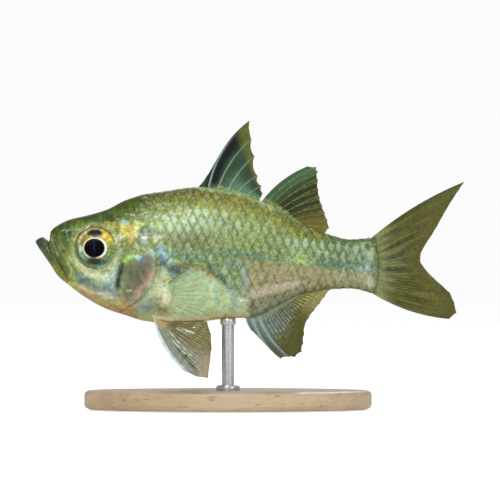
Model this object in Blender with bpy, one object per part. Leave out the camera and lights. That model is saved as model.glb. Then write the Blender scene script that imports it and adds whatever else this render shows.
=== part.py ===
"""A life-size glassfish on a plain stand: head, jaws, gill covers, eyes, trunk, tail base, fins and stand.

The fish faces -X with its left side towards -Y. All sizes below are in millimetres, and MM turns
them into metres. The origin lies on the table, under the middle of the whole model.
"""

import math

import bmesh
import bpy
import numpy as np

MM = 0.001
GAP = 0.3

# The body's outline seen from the side, and its half width, at places along it
BODY_X = (-34.4, -33.1, -32.0, -30.8, -28.9, -26.0, -23.0, -20.0, -17.0, -13.0, -8.0, -3.5, 0.0, 4.0, 8.6,
          12.3, 16.0, 19.4, 21.0)
BODY_TOP = (27.1, 27.5, 28.4, 29.4, 30.3, 31.0, 31.9, 33.4, 34.3, 34.9, 35.5, 34.8, 34.0, 32.2, 29.1,
            28.0, 27.1, 27.4, 28.2)
BODY_BOTTOM = (26.5, 24.7, 23.1, 21.3, 19.7, 17.6, 16.0, 15.0, 14.1, 13.7, 14.0, 14.5, 14.6, 16.4, 18.6,
               19.1, 19.3, 18.6, 17.8)
BODY_HALF_WIDTH = (0.55, 1.1, 1.5, 1.95, 2.5, 3.0, 3.4, 3.75, 3.95, 4.05, 3.9, 3.6, 3.25, 2.75, 2.15,
                   1.65, 1.2, 0.75, 0.6)
# How full the section is: under 1 is boxy as on the head, over 1 is keeled as on the trunk
SECTION_X = (-34.4, -27.0, -20.0, -10.0, 12.0, 21.0)
SECTION_POWER = (0.85, 0.8, 0.9, 1.05, 1.0, 0.8)
SNOUT_ROUNDING = 0.5
SECTION_POINTS = 28
HEAD_STATION_STEP = 0.8
TRUNK_STATION_STEP = 1.5

# Lines on the side of the body, as (x, z), from top to bottom
GILL_EDGE = ((-16.6, 37.0), (-16.5, 33.0), (-16.1, 28.5), (-15.1, 25.6), (-14.8, 23.5), (-15.1, 21.0),
             (-16.6, 18.7), (-18.9, 16.8), (-20.6, 15.0), (-21.4, 12.0))
GILL_COVER_REAR_SPAN = (0.39, 0.86)
GILL_COVER_FRONT = ((-19.4, 26.7), (-20.5, 23.6), (-21.0, 21.0), (-21.2, 18.6), (-21.0, 17.0))
GILL_COVER_THICKNESS = 0.8
GILL_COVER_SWELL = 0.22
GILL_COVER_GRID = (8, 14)
LOWER_LIP = ((-33.3, 30.0), (-33.0, 27.2), (-32.3, 25.4), (-31.4, 24.0), (-30.3, 22.5), (-29.3, 21.0))
LOWER_JAW_REAR = ((-28.7, 20.1), (-27.9, 17.0))
UPPER_LIP = ((-32.0, 31.0), (-31.95, 26.8), (-31.6, 25.4), (-30.9, 24.2), (-29.9, 22.7), (-28.9, 21.3),
             (-28.4, 20.6))
UPPER_JAW_BACK = ((-27.8, 20.7), (-27.8, 21.6), (-28.6, 23.1), (-29.5, 24.6), (-30.3, 25.9), (-30.9, 27.4),
                  (-31.2, 31.0))
JAW_FULLNESS = 1.07
TAIL_CUT_X = 12.25
TAIL_END = ((19.0, 29.0), (19.5, 26.0), (19.8, 23.0), (19.5, 20.0), (19.0, 17.0))

EYE_X = -24.75
EYE_Z = 25.75
EYE_RADIUS = 3.15
EYE_SET_IN = 1.5
EYE_RIM = -0.1
EYE_BACK = 0.75
# Radius as a share of the eye's, and height above the head's surface
EYE_PROFILE = ((0.3, 0.8), (0.5, 0.62), (0.56, 0.5), (0.8, 0.42), (0.94, 0.22), (1.0, EYE_RIM),
               (EYE_BACK, -EYE_SET_IN))
EYE_SIDES = 24
CUTTER_REACH = 4.0
NOSTRILS = ((-29.75, 28.3, 0.26), (-28.95, 28.15, 0.32))

# Fins: where the rays leave the body along x, and where they end, as (x, z)
FIN_BASE_HALF = 0.4
FIN_EDGE_HALF = 0.16
RAY_RIDGE = 0.17
RAY_FOOT = 0.17
DEEP_NOTCH = 0.1
FIRST_DORSAL_BASE = (-8.3, -6.7, -5.2, -3.6, -2.1, -0.6, 0.7)
FIRST_DORSAL_TIPS = ((-6.6, 37.3), (-0.1, 46.2), (0.2, 43.2), (0.7, 40.5), (1.2, 37.3), (1.8, 35.7),
                     (1.95, 34.5))
SECOND_DORSAL_BASE = (1.9, 11.5)
SECOND_DORSAL_RAYS = 11
SECOND_DORSAL_MARGIN = ((9.3, 38.9), (10.8, 38.7), (10.95, 35.0), (11.6, 32.3), (12.4, 30.1), (12.6, 28.9))
ANAL_SPINE_BASE = (-0.8, 0.3, 1.3)
ANAL_SPINE_TIPS = ((0.1, 12.6), (4.9, 7.95), (6.2, 8.25))
ANAL_RAY_BASE = (2.5, 11.9)
ANAL_RAYS = 10
ANAL_MARGIN = ((7.1, 8.2), (8.4, 9.0), (8.55, 12.2), (10.1, 15.5), (11.5, 17.4), (12.5, 18.6))
CAUDAL_RAYS = 17
CAUDAL_MARGIN = ((34.3, 36.4), (31.9, 32.8), (29.7, 28.9), (27.1, 24.0), (29.4, 20.9), (32.2, 18.2),
                 (33.0, 15.3), (31.8, 14.4))
PELVIC_BASE = (-15.4, -13.2)
PELVIC_RAYS = 7
PELVIC_MARGIN = ((-10.6, 6.2), (-8.2, 5.0), (-6.8, 4.9), (-6.3, 7.4), (-6.1, 10.4), (-7.1, 13.3))
PELVIC_ROOT_Y = 1.15
PELVIC_SPLAY = 0.22
PECTORAL_ROOT = ((-13.3, 19.8), (-13.0, 18.4), (-13.4, 17.0))
PECTORAL_RAYS = 10
PECTORAL_MARGIN = ((-9.2, 23.0), (-7.9, 22.9), (-6.8, 20.0), (-6.8, 16.4), (-8.8, 13.8))
PECTORAL_FLARE = 0.12

# The stand
BASE_LENGTH = 46.0
BASE_WIDTH = 26.0
BASE_HEIGHT = 3.0
BASE_BEVEL = 0.7
BASE_SIDES = 48
ROD_X = -3.6
ROD_RADIUS = 1.0
ROD_SINK = 2.0
ROD_SIDES = 24
ROD_BEVEL = 0.12


def smooth_curve(knots, values):
    """A smooth function through the values at the knots, with no bump between two of them."""
    steps = np.diff(knots)
    slopes = np.diff(values) / steps
    tangents = np.zeros(len(values))
    tangents[0] = slopes[0]
    tangents[-1] = slopes[-1]
    for i in range(1, len(values) - 1):
        if slopes[i - 1] * slopes[i] > 0:
            tangents[i] = 2 / (1 / slopes[i - 1] + 1 / slopes[i])

    def at(where):
        where = min(max(where, knots[0]), knots[-1])
        i = min(int(np.searchsorted(knots, where, side="right")) - 1, len(steps) - 1)
        t = (where - knots[i]) / steps[i]
        start = (1 + 2 * t) * (1 - t) ** 2 * values[i] + t * (1 - t) ** 2 * steps[i] * tangents[i]
        end = t * t * (3 - 2 * t) * values[i + 1] + t * t * (t - 1) * steps[i] * tangents[i + 1]
        return start + end

    return at


def smooth_line(points, count, span=(0.0, 1.0)):
    """Places spread evenly along a smooth line through the points, over a share of its length."""
    points = np.array(points, float)
    lengths = np.concatenate([[0], np.cumsum(np.linalg.norm(np.diff(points, axis=0), axis=1))])
    curves = [smooth_curve(lengths / lengths[-1], column) for column in points.T]
    return np.array([[curve(t) for curve in curves] for t in np.linspace(*span, count)])


def moved_sideways(line, distance):
    """The line moved to its right hand side, as one walks along it."""
    along = np.gradient(line, axis=0)
    along /= np.linalg.norm(along, axis=1)[:, None]
    return line + distance * np.stack([along[:, 1], -along[:, 0]], axis=1)


body_top = smooth_curve(BODY_X, BODY_TOP)
body_bottom = smooth_curve(BODY_X, BODY_BOTTOM)
body_half_width = smooth_curve(BODY_X, BODY_HALF_WIDTH)
section_power = smooth_curve(SECTION_X, SECTION_POWER)


def section(x):
    """Middle height, half height and half width of the body at x, rounded off at the snout."""
    closing = min((x - BODY_X[0]) / SNOUT_ROUNDING, 1.0)
    rounding = math.sqrt(max(1 - (1 - closing) ** 2, 0.01))
    middle = (body_top(x) + body_bottom(x)) / 2
    half_height = (body_top(x) - body_bottom(x)) / 2
    return middle, half_height * rounding, body_half_width(x) * rounding


def flank(x, z):
    """Half width of the body at a place on its side."""
    middle, half_height, half_width = section(x)
    across = min(abs(z - middle) / half_height, 1.0)
    return half_width * math.sqrt(1 - across * across) ** section_power(x)


def underside(x, y):
    """Height of the belly's surface at a distance y from the middle plane."""
    middle, half_height, half_width = section(x)
    level = (y / half_width) ** (1 / section_power(x))
    return middle - half_height * math.sqrt(1 - level * level)


def principled(name, colour, roughness, metallic=0.0):
    material = bpy.data.materials.new(name)
    material.use_nodes = True
    shader = material.node_tree.nodes["Principled BSDF"]
    shader.inputs["Base Color"].default_value = (*colour, 1.0)
    shader.inputs["Roughness"].default_value = roughness
    shader.inputs["Metallic"].default_value = metallic
    return material


def make_object(name, points, faces, material=None):
    """A mesh object from points in millimetres."""
    mesh = bpy.data.meshes.new(name)
    mesh.from_pydata([tuple(MM * float(c) for c in point) for point in points], [], faces)
    mesh.validate()
    built = bpy.data.objects.new(name, mesh)
    bpy.context.scene.collection.objects.link(built)
    if material:
        mesh.materials.append(material)
    face_outwards(built)
    return built


def face_outwards(built):
    work = bmesh.new()
    work.from_mesh(built.data)
    bmesh.ops.recalc_face_normals(work, faces=work.faces)
    work.to_mesh(built.data)
    work.free()


def shade(built, angle=40):
    built.data.shade_smooth()
    built.data.set_sharp_from_angle(angle=math.radians(angle))


def loft(name, rings):
    """A closed skin through rings of as many points, closed at both ends by a fan."""
    count = len(rings[0])
    points = [point for ring in rings for point in ring]
    faces = []
    for i in range(len(rings) - 1):
        for j in range(count):
            k = (j + 1) % count
            faces.append((i * count + j, i * count + k, (i + 1) * count + k, (i + 1) * count + j))
    for ring_start, ring in ((0, rings[0]), ((len(rings) - 1) * count, rings[-1])):
        points.append(np.mean(ring, axis=0))
        for j in range(count):
            faces.append((ring_start + j, ring_start + (j + 1) % count, len(points) - 1))
    return make_object(name, points, faces)


def prism(name, outline, reach=12.0):
    """The outline, given as (x, z), drawn out to both sides of the middle plane."""
    count = len(outline)
    points = [(x, y, z) for y in (-reach, reach) for x, z in outline]
    faces = [tuple(range(count)), tuple(range(2 * count - 1, count - 1, -1))]
    for j in range(count):
        k = (j + 1) % count
        faces.append((j, k, count + k, count + j))
    return make_object(name, points, faces)


def turned(name, profile, centre, side, sides):
    """A turned piece on an axis along Y: the profile holds (radius, height towards the side)."""
    rings = []
    for radius, height in profile:
        ring = []
        for j in range(sides):
            angle = 2 * math.pi * j / sides
            ring.append((centre[0] + radius * math.cos(angle), side * (centre[1] + height),
                         centre[2] + radius * math.sin(angle)))
        rings.append(ring)
    return loft(name, rings)


def combine(target, others, operation):
    """Cuts, joins or keeps the common part with EXACT Booleans, and removes the other pieces."""
    helpers = bpy.data.collections.new("helpers")
    bpy.context.scene.collection.children.link(helpers)
    for other in others:
        for holder in list(other.users_collection):
            holder.objects.unlink(other)
        helpers.objects.link(other)
    change = target.modifiers.new(operation.lower(), "BOOLEAN")
    change.operation = operation
    change.solver = "EXACT"
    change.operand_type = "COLLECTION"
    change.collection = helpers
    bpy.context.view_layer.update()
    evaluated = target.evaluated_get(bpy.context.evaluated_depsgraph_get())
    result = bpy.data.meshes.new_from_object(evaluated)
    target.modifiers.clear()
    target.data = result
    for other in others:
        bpy.data.objects.remove(other)
    bpy.data.collections.remove(helpers)


def keep_largest(built):
    """Leaves only the closed surface that holds the most faces."""
    work = bmesh.new()
    work.from_mesh(built.data)
    left = set(work.faces)
    shells = []
    while left:
        shell = set()
        queue = [left.pop()]
        while queue:
            face = queue.pop()
            shell.add(face)
            for edge in face.edges:
                for other in edge.link_faces:
                    if other in left:
                        left.remove(other)
                        queue.append(other)
        shells.append(shell)
    shells.sort(key=len)
    scraps = [face for shell in shells[:-1] for face in shell]
    bmesh.ops.delete(work, geom=scraps, context="FACES")
    work.to_mesh(built.data)
    work.free()


def body_form(name):
    """The whole body from lower lip to tail base, before it is parted."""
    head_count = round((GILL_EDGE[0][0] - BODY_X[0]) / HEAD_STATION_STEP)
    trunk_count = round((BODY_X[-1] - GILL_EDGE[0][0]) / TRUNK_STATION_STEP)
    stations = [BODY_X[0], BODY_X[0] + 0.12, BODY_X[0] + 0.35]
    stations += list(np.linspace(BODY_X[0] + HEAD_STATION_STEP, GILL_EDGE[0][0], head_count))
    stations += list(np.linspace(GILL_EDGE[0][0], BODY_X[-1], trunk_count + 1)[1:])
    rings = []
    for x in stations:
        middle, half_height, half_width = section(x)
        ring = []
        for j in range(SECTION_POINTS):
            angle = 2 * math.pi * (j + 0.5) / SECTION_POINTS
            side = math.copysign(abs(math.sin(angle)) ** section_power(x), math.sin(angle))
            ring.append((x, half_width * side, middle + half_height * math.cos(angle)))
        rings.append(ring)
    return loft(name, rings)


def body_piece(name, outline, material):
    """The part of the body that lies inside an outline seen from the side."""
    piece = body_form(name)
    piece.data.materials.append(material)
    combine(piece, [prism("outline", outline)], "INTERSECT")
    keep_largest(piece)
    return piece


def gill_plate(name, side, grow=0.0, inner=GILL_COVER_THICKNESS, outer=0.0, material=None):
    """A curved plate on the side of the head, thick from inner below the surface to outer above it."""
    columns, rows = GILL_COVER_GRID
    front = smooth_line(GILL_COVER_FRONT, rows)
    rear = smooth_line(GILL_EDGE, rows, GILL_COVER_REAR_SPAN)
    for edge in (front, rear):
        for end, neighbour in ((0, 1), (-1, -2)):
            outward = edge[end] - edge[neighbour]
            edge[end] += grow * outward / np.linalg.norm(outward)
    front = moved_sideways(front, grow)
    rear = moved_sideways(rear, -2 * grow)
    points = []
    for level, swell in ((-inner, 0.0), (outer, GILL_COVER_SWELL)):
        for i in range(columns):
            share = i / (columns - 1)
            for j in range(rows):
                x, z = (1 - share) * front[j] + share * rear[j]
                points.append((x, side * (flank(x, z) + level + swell * share ** 2), z))
    return make_object(name, points, sheet_faces(columns, rows), material)


def sheet_faces(columns, rows):
    """Triangles of a thin closed sheet: two grids of the same points, split alike, and the rim."""
    faces = []
    second = columns * rows
    for i in range(columns - 1):
        for j in range(rows - 1):
            a, b = i * rows + j, i * rows + j + 1
            c, d = a + rows, b + rows
            faces += [(a, b, d), (a, d, c)]
            faces += [(second + a, second + d, second + b), (second + a, second + c, second + d)]
    rim = [i * rows for i in range(columns)]
    rim += [(columns - 1) * rows + j for j in range(1, rows)]
    rim += [i * rows + rows - 1 for i in range(columns - 2, -1, -1)]
    rim += list(range(rows - 2, 0, -1))
    for start, end in zip(rim, rim[1:] + rim[:1]):
        faces += [(start, end, second + end), (start, second + end, second + start)]
    return faces


def eye_centre():
    return (EYE_X, flank(EYE_X, EYE_Z), EYE_Z)


def make_eye(name, side, material):
    profile = [(share * EYE_RADIUS, height) for share, height in EYE_PROFILE]
    eye = turned(name, profile, eye_centre(), side, EYE_SIDES)
    eye.data.materials.append(material)
    shade(eye, 30)
    return eye


def socket_cutter(side):
    rim = EYE_RADIUS + GAP
    floor = EYE_BACK * EYE_RADIUS + GAP
    profile = [(rim, CUTTER_REACH), (rim, EYE_RIM), (floor, -EYE_SET_IN - GAP)]
    return turned("socket", profile, eye_centre(), side, EYE_SIDES)


def nostril_cutter(x, z, radius, side):
    work = bmesh.new()
    bmesh.ops.create_icosphere(work, subdivisions=2, radius=radius * MM)
    bmesh.ops.translate(work, vec=(x * MM, side * flank(x, z) * MM, z * MM), verts=work.verts)
    mesh = bpy.data.meshes.new("nostril")
    work.to_mesh(mesh)
    work.free()
    built = bpy.data.objects.new("nostril", mesh)
    bpy.context.scene.collection.objects.link(built)
    return built


def make_head(material):
    gill_edge = smooth_line(GILL_EDGE, 28)
    front = moved_sideways(np.array(UPPER_JAW_BACK[::-1]), -GAP)
    jaw_rear = moved_sideways(np.array(LOWER_JAW_REAR), -GAP)
    outline = [tuple(point) for point in (*front, *jaw_rear[1:], (-27.0, 11.0), *gill_edge[::-1])]
    head = body_piece("head", outline, material)
    cutters = []
    for side in (-1, 1):
        cutters.append(socket_cutter(side))
        cutters.append(gill_plate("gill recess", side, GAP, GILL_COVER_THICKNESS + GAP, CUTTER_REACH))
        cutters += [nostril_cutter(x, z, radius, side) for x, z, radius in NOSTRILS]
    combine(head, cutters, "DIFFERENCE")
    keep_largest(head)
    shade(head)
    return head


def make_jaw(name, outline, material):
    """A jaw is the body's own form inside its outline, a little fuller so that its lip stands out."""
    jaw = body_piece(name, outline, material)
    for vertex in jaw.data.vertices:
        vertex.co.y *= JAW_FULLNESS
    shade(jaw)
    return jaw


def make_trunk(material):
    front = moved_sideways(smooth_line(GILL_EDGE, 28), -GAP)
    outline = [tuple(point) for point in front] + [(TAIL_CUT_X, 12.0), (TAIL_CUT_X, 37.0)]
    trunk = body_piece("torso", outline, material)
    shade(trunk)
    return trunk


def make_tail_base(material):
    end = smooth_line(TAIL_END, 9)
    start = TAIL_CUT_X + GAP
    outline = [(start, 30.0), (start, 16.0)] + [tuple(point) for point in end[::-1]]
    tail = body_piece("tail_peduncle", outline, material)
    shade(tail)
    return tail


def ray_line(base, tip, bend, rows):
    """A ray from its base to its tip, bowed to one side by a share of its length."""
    base = np.array(base, float)
    tip = np.array(tip, float)
    across = np.array([-(tip - base)[1], (tip - base)[0]])
    t = np.linspace(0, 1, rows)[:, None]
    return base + t * (tip - base) + 4 * bend * t * (1 - t) * across


def fin(name, bases, tips, bends, rows, notch, place, material):
    """A fin of membrane with a ridge along each ray, on both faces.

    place turns (x, z, thickness side) into a point. notch is how far the membrane stops short of
    the ray tips, as a share of the ray. Where it is deep, the membrane gets a line of its own.
    """
    count = len(bases)
    columns = [0.0]
    for i in range(count - 1):
        columns.append(i + RAY_FOOT)
        if notch[i] > DEEP_NOTCH:
            columns.append(i + 0.5)
        columns += [i + 1 - RAY_FOOT, i + 1.0]
    lines = [ray_line(bases[i], tips[i], bends[i], rows) for i in range(count)]
    shares = np.linspace(0, 1, rows)
    points = []
    for side in (-1, 1):
        for u in columns:
            low = min(int(u), count - 2)
            blend = u - low
            reach = 1 - notch[low] * math.sin(math.pi * blend) ** 0.7
            line = (1 - blend) * lines[low] + blend * lines[low + 1]
            on_ray = abs(u - round(u)) < 1e-6
            for j in range(rows):
                here = shares[j] * reach
                x = np.interp(here, shares, line[:, 0])
                z = np.interp(here, shares, line[:, 1])
                half = FIN_BASE_HALF + (FIN_EDGE_HALF - FIN_BASE_HALF) * here ** 1.5
                if on_ray:
                    half += RAY_RIDGE * (1 - 0.6 * here)
                points.append(place(x, z, side * half))
    built = make_object(name, points, sheet_faces(len(columns), rows), material)
    shade(built, 50)
    return built


def on_middle(x, z, offset):
    return (x, offset, z)


def rise(x):
    """Where a fin on the back starts at x."""
    return body_top(x) + GAP


def fall(x):
    """Where a fin under the belly starts at x."""
    return body_bottom(x) - GAP


def make_first_dorsal(material):
    bases = [(x, rise(x)) for x in FIRST_DORSAL_BASE]
    bends = (0.0, 0.1, 0.07, 0.06, 0.05, 0.04, 0.0)
    notch = (0.3, 0.04, 0.12, 0.14, 0.18, 0.2)
    return fin("fin_dorsal_first", bases, FIRST_DORSAL_TIPS, bends, 8, notch, on_middle, material)


def make_second_dorsal(material):
    spread = np.linspace(*SECOND_DORSAL_BASE, SECOND_DORSAL_RAYS)
    bases = [(x, rise(x)) for x in spread]
    tips = smooth_line(SECOND_DORSAL_MARGIN, SECOND_DORSAL_RAYS)
    bends = np.linspace(0.05, 0.0, SECOND_DORSAL_RAYS)
    notch = np.full(SECOND_DORSAL_RAYS - 1, 0.05)
    return fin("fin_dorsal_second", bases, tips, bends, 6, notch, on_middle, material)


def make_anal(material):
    spread = list(ANAL_SPINE_BASE) + list(np.linspace(*ANAL_RAY_BASE, ANAL_RAYS))
    bases = [(x, fall(x)) for x in spread]
    tips = list(ANAL_SPINE_TIPS) + list(smooth_line(ANAL_MARGIN, ANAL_RAYS))
    bends = [-0.05, -0.09, -0.07] + list(np.linspace(-0.05, 0.0, ANAL_RAYS))
    notch = [0.3, 0.05] + [0.04] * ANAL_RAYS
    return fin("fin_anal", bases, tips, bends, 6, notch, on_middle, material)


def make_caudal(material):
    bases = smooth_line(TAIL_END, CAUDAL_RAYS, (0.13, 0.87)) + (GAP, 0)
    tips = smooth_line(CAUDAL_MARGIN, CAUDAL_RAYS)
    bends = np.linspace(0.04, -0.06, CAUDAL_RAYS)
    notch = np.full(CAUDAL_RAYS - 1, 0.03)
    return fin("fin_caudal", bases, tips, bends, 8, notch, on_middle, material)


def make_pelvic(name, side, material):
    spread = np.linspace(*PELVIC_BASE, PELVIC_RAYS)
    bases = [(x, underside(x, PELVIC_ROOT_Y) - GAP) for x in spread]
    tips = smooth_line(PELVIC_MARGIN, PELVIC_RAYS)
    bends = np.linspace(-0.09, 0.0, PELVIC_RAYS)
    notch = np.full(PELVIC_RAYS - 1, 0.04)

    def place(x, z, offset):
        depth = max(bases[0][1] - z, 0.0)
        return (x, side * (PELVIC_ROOT_Y + PELVIC_SPLAY * depth) + offset, z)

    return fin(name, bases, tips, bends, 6, notch, place, material)


def make_pectoral(name, side, material):
    bases = smooth_line(PECTORAL_ROOT, PECTORAL_RAYS)
    tips = smooth_line(PECTORAL_MARGIN, PECTORAL_RAYS)
    bends = np.linspace(0.03, -0.03, PECTORAL_RAYS)
    notch = np.full(PECTORAL_RAYS - 1, 0.04)
    root_x = PECTORAL_ROOT[1][0]

    def place(x, z, offset):
        clear = GAP + FIN_BASE_HALF + RAY_RIDGE + PECTORAL_FLARE * max(x - root_x, 0.0)
        return (x, side * (flank(x, z) + clear) + offset, z)

    return fin(name, bases, tips, bends, 5, notch, place, material)


def make_stand_base(material):
    """A flat oval foot with rounded edges and a blind hole for the rod."""
    bpy.ops.mesh.primitive_cylinder_add(vertices=BASE_SIDES, radius=BASE_WIDTH / 2 * MM,
                                        depth=BASE_HEIGHT * MM,
                                        location=(ROD_X * MM, 0, BASE_HEIGHT / 2 * MM))
    base = bpy.context.object
    base.name = "stand_base"
    base.scale.x = BASE_LENGTH / BASE_WIDTH
    bpy.ops.object.transform_apply(location=True, rotation=False, scale=True)
    base.data.materials.append(material)
    bevel = base.modifiers.new("edges", "BEVEL")
    bevel.width = BASE_BEVEL * MM
    bevel.segments = 2
    bevel.limit_method = "ANGLE"
    bpy.ops.object.modifier_apply(modifier=bevel.name)
    depth = ROD_SINK + GAP
    bpy.ops.mesh.primitive_cylinder_add(vertices=ROD_SIDES, radius=(ROD_RADIUS + GAP) * MM,
                                        depth=2 * depth * MM,
                                        location=(ROD_X * MM, 0, BASE_HEIGHT * MM))
    combine(base, [bpy.context.object], "DIFFERENCE")
    shade(base)
    return base


def make_stand_rod(material):
    top = fall(ROD_X)
    bottom = BASE_HEIGHT - ROD_SINK
    bpy.ops.mesh.primitive_cylinder_add(vertices=ROD_SIDES, radius=ROD_RADIUS * MM,
                                        depth=(top - bottom) * MM,
                                        location=(ROD_X * MM, 0, (top + bottom) / 2 * MM))
    rod = bpy.context.object
    rod.name = "stand_rod"
    rod.data.materials.append(material)
    bevel = rod.modifiers.new("edges", "BEVEL")
    bevel.width = ROD_BEVEL * MM
    bevel.segments = 1
    bevel.limit_method = "ANGLE"
    shade(rod)
    return rod


def main():
    for old in list(bpy.data.objects):
        bpy.data.objects.remove(old)
    flank_green = principled("flank_green", (0.30, 0.36, 0.18), 0.35)
    head_green = principled("head_green", (0.34, 0.36, 0.16), 0.35)
    jaw_olive = principled("jaw_olive", (0.33, 0.29, 0.08), 0.35)
    gill_silver = principled("gill_silver", (0.36, 0.38, 0.32), 0.25, 0.2)
    eye_cream = principled("eye_cream", (0.55, 0.50, 0.28), 0.1)
    fin_olive = principled("fin_olive", (0.13, 0.15, 0.05), 0.4)
    fin_dark = principled("fin_dark", (0.06, 0.09, 0.05), 0.4)
    fin_pale = principled("fin_pale", (0.35, 0.38, 0.22), 0.4)
    beech = principled("beech", (0.60, 0.43, 0.26), 0.5)
    steel = principled("brushed_steel", (0.60, 0.60, 0.60), 0.3, 1.0)

    make_head(head_green)
    lower_jaw = list(LOWER_LIP) + list(LOWER_JAW_REAR) + [(-38.0, 17.0), (-38.0, 30.0)]
    make_jaw("jaw_lower", lower_jaw, jaw_olive)
    make_jaw("jaw_upper", list(UPPER_LIP) + list(UPPER_JAW_BACK), jaw_olive)
    make_trunk(flank_green)
    make_tail_base(flank_green)
    make_first_dorsal(fin_dark)
    make_second_dorsal(fin_olive)
    make_anal(fin_olive)
    make_caudal(fin_olive)
    for side, word in ((-1, "left"), (1, "right")):
        make_eye(f"eye_{word}", side, eye_cream)
        cover = gill_plate(f"operculum_{word}", side, material=gill_silver)
        shade(cover)
        make_pelvic(f"fin_pelvic_{word}", side, fin_pale)
        make_pectoral(f"fin_pectoral_{word}", side, fin_pale)
    make_stand_base(beech)
    make_stand_rod(steel)


main()
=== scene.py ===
import math

import bpy
import numpy as np
from bpy.props import FloatProperty, FloatVectorProperty, IntProperty, PointerProperty
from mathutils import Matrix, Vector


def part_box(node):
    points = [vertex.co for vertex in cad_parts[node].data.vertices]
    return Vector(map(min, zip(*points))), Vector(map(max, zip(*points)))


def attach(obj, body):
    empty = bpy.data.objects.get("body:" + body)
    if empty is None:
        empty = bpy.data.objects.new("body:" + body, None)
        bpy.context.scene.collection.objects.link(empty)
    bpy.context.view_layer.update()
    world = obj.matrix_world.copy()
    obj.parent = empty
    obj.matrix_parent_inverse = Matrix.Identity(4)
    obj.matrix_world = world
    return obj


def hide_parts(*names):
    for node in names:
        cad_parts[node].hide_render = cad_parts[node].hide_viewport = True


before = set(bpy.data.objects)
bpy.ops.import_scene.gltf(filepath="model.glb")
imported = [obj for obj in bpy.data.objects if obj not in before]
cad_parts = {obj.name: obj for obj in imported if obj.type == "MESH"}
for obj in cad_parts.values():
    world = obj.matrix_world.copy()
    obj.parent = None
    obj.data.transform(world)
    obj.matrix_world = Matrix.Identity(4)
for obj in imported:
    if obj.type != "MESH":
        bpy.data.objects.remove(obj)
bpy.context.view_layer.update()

bl_info = {
    "name": "Glassfish on a stand",
    "version": (1, 0, 0),
    "blender": (4, 5, 0),
    "location": "View3D > Sidebar > Glassfish",
    "description": "Skin, scales, eyes, fins and stand of a life-size glassfish model",
    "category": "Object",
}

MM = 0.001
ROOT = "root"

# The body's outline seen from the side and its half width, in millimetres
BODY_X = (-34.4, -33.2, -32.15, -31.98, -30.8, -28.9, -26, -23, -20, -17, -13, -8, -3.5,
          0, 4, 8.6, 12.3, 16, 19.4, 21)
BODY_TOP = (27.05, 27.5, 26.85, 28.35, 29.4, 30.3, 31, 31.9, 33.4, 34.3, 34.9, 35.5, 34.8, 34, 32.2,
            29.1, 28, 27.1, 27.4, 28.2)
BODY_BOTTOM = (26.5, 24.8, 23.3, 23.05, 21.3, 19.7, 17.6, 16, 15, 14.1, 13.7, 14, 14.5, 14.6,
               16.4, 18.6, 19.1, 19.3, 18.6, 17.8)
BODY_HALF_WIDTH = (0.55, 1.1, 1.47, 1.5, 1.95, 2.5, 3, 3.4, 3.75, 3.95, 4.05, 3.9, 3.6, 3.25, 2.75,
                   2.15, 1.65, 1.2, 0.75, 0.6)
SECTION_X = (-34.4, -27, -20, -10, 12, 21)
SECTION_POWER = (0.85, 0.8, 0.9, 1.05, 1, 0.8)
SNOUT_ROUNDING = 0.5
BODY_END = 20.15

# Where the head's close rings of points end along x, the steps between rings there and behind
HEAD_REAR, HEAD_STEP, BODY_STEP = -13.5, 0.1, 0.24

# Lines on the side of the fish, as (x, z) in millimetres
GILL_SLIT = ((-15.1, 25.9), (-14.8, 23.5), (-15.1, 21), (-16.6, 18.7), (-18.9, 16.8), (-21.5, 15.4),
             (-24.5, 16.6))
PREOPERCLE = ((-19.9, 25.2), (-20.5, 23.4), (-21, 21), (-21.2, 19), (-20.9, 17.4))
PREOPERCLE_RIDGE = ((-21.2, 25), (-21.9, 22.8), (-22.3, 20.6), (-23.6, 19), (-26, 19.2))
GAPE = ((-32.4, 27.3), (-32.2, 26.3), (-31.8, 25.2), (-31.05, 24), (-30.05, 22.5), (-29.1, 21.1),
        (-28.7, 20.4))
LOWER_LIP_LINE = ((-32.91, 27.28), (-32.32, 26.56), (-31.6, 24.96), (-31.12, 24))
UPPER_JAW_BACK = ((-31, 29.2), (-30.9, 27.4), (-30.3, 25.9), (-29.5, 24.6), (-28.6, 23.1),
                  (-27.8, 21.6), (-28, 20.5), (-28.7, 20.2))
THROAT_FOLD = ((-27, 17.7), (-24.5, 16.7), (-21.5, 15.5), (-19, 16))
THROAT_STEPS = (0.45, 0.9, 1.35)
LOWER_JAW_FOLD = ((-29.2, 21), (-28.3, 20.3), (-27.3, 18.9))
STRIPE = ((-15, 24.9), (-10, 24.1), (-4.5, 25.2), (1, 24.5), (8, 23.6), (16, 22.8),
          (20.5, 22.6))
LATERAL_ROWS = ((-20, 26.3), (-15, 26.2), (-10, 25.9), (-4.5, 25.3), (1, 24.5), (8, 23.6),
                (16, 22.8), (20.5, 22.5))

# Edges of regions: heights and the x there, but for the belly x and the heights there
HEAD_EDGE = ((15, 16.8, 18.7, 21, 23.5, 25.6, 28.5, 33),
             (-17.6, -17, -15.9, -14.9, -14.6, -14.9, -15.8, -15.8))
FIRST_SCALES = ((14, 18.5, 21, 23.5, 25.6, 28, 31, 35),
                (-15, -13.6, -14, -14.4, -15.6, -16.4, -17.4, -18.4))
TAIL_EDGE = ((17, 20, 23, 26, 29), (19.5, 20.1, 20.5, 20.1, 19.5))
BELLY_EDGE = ((-20, -14, -9, -6, -3, 0), (24.6, 24.2, 23.6, 22, 20, 16))
TAIL_START = 17

# The eye's middle, radius, how much taller than long it is, and the pupil's shift and half sizes
EYE_X, EYE_Z, EYE_RADIUS, EYE_TALL = -24.75, 25.75, 3.15, 1.05
PUPIL_SHIFT, PUPIL_LONG, PUPIL_TALL = 0.12, 1.62, 1.47

# How high the eye's dome stands in its middle, how much it falls to its edge, and how deep its back is
DOME_HEIGHT, DOME_FALL, EYE_DEPTH = 0.5, 0.42, 1.4

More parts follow.
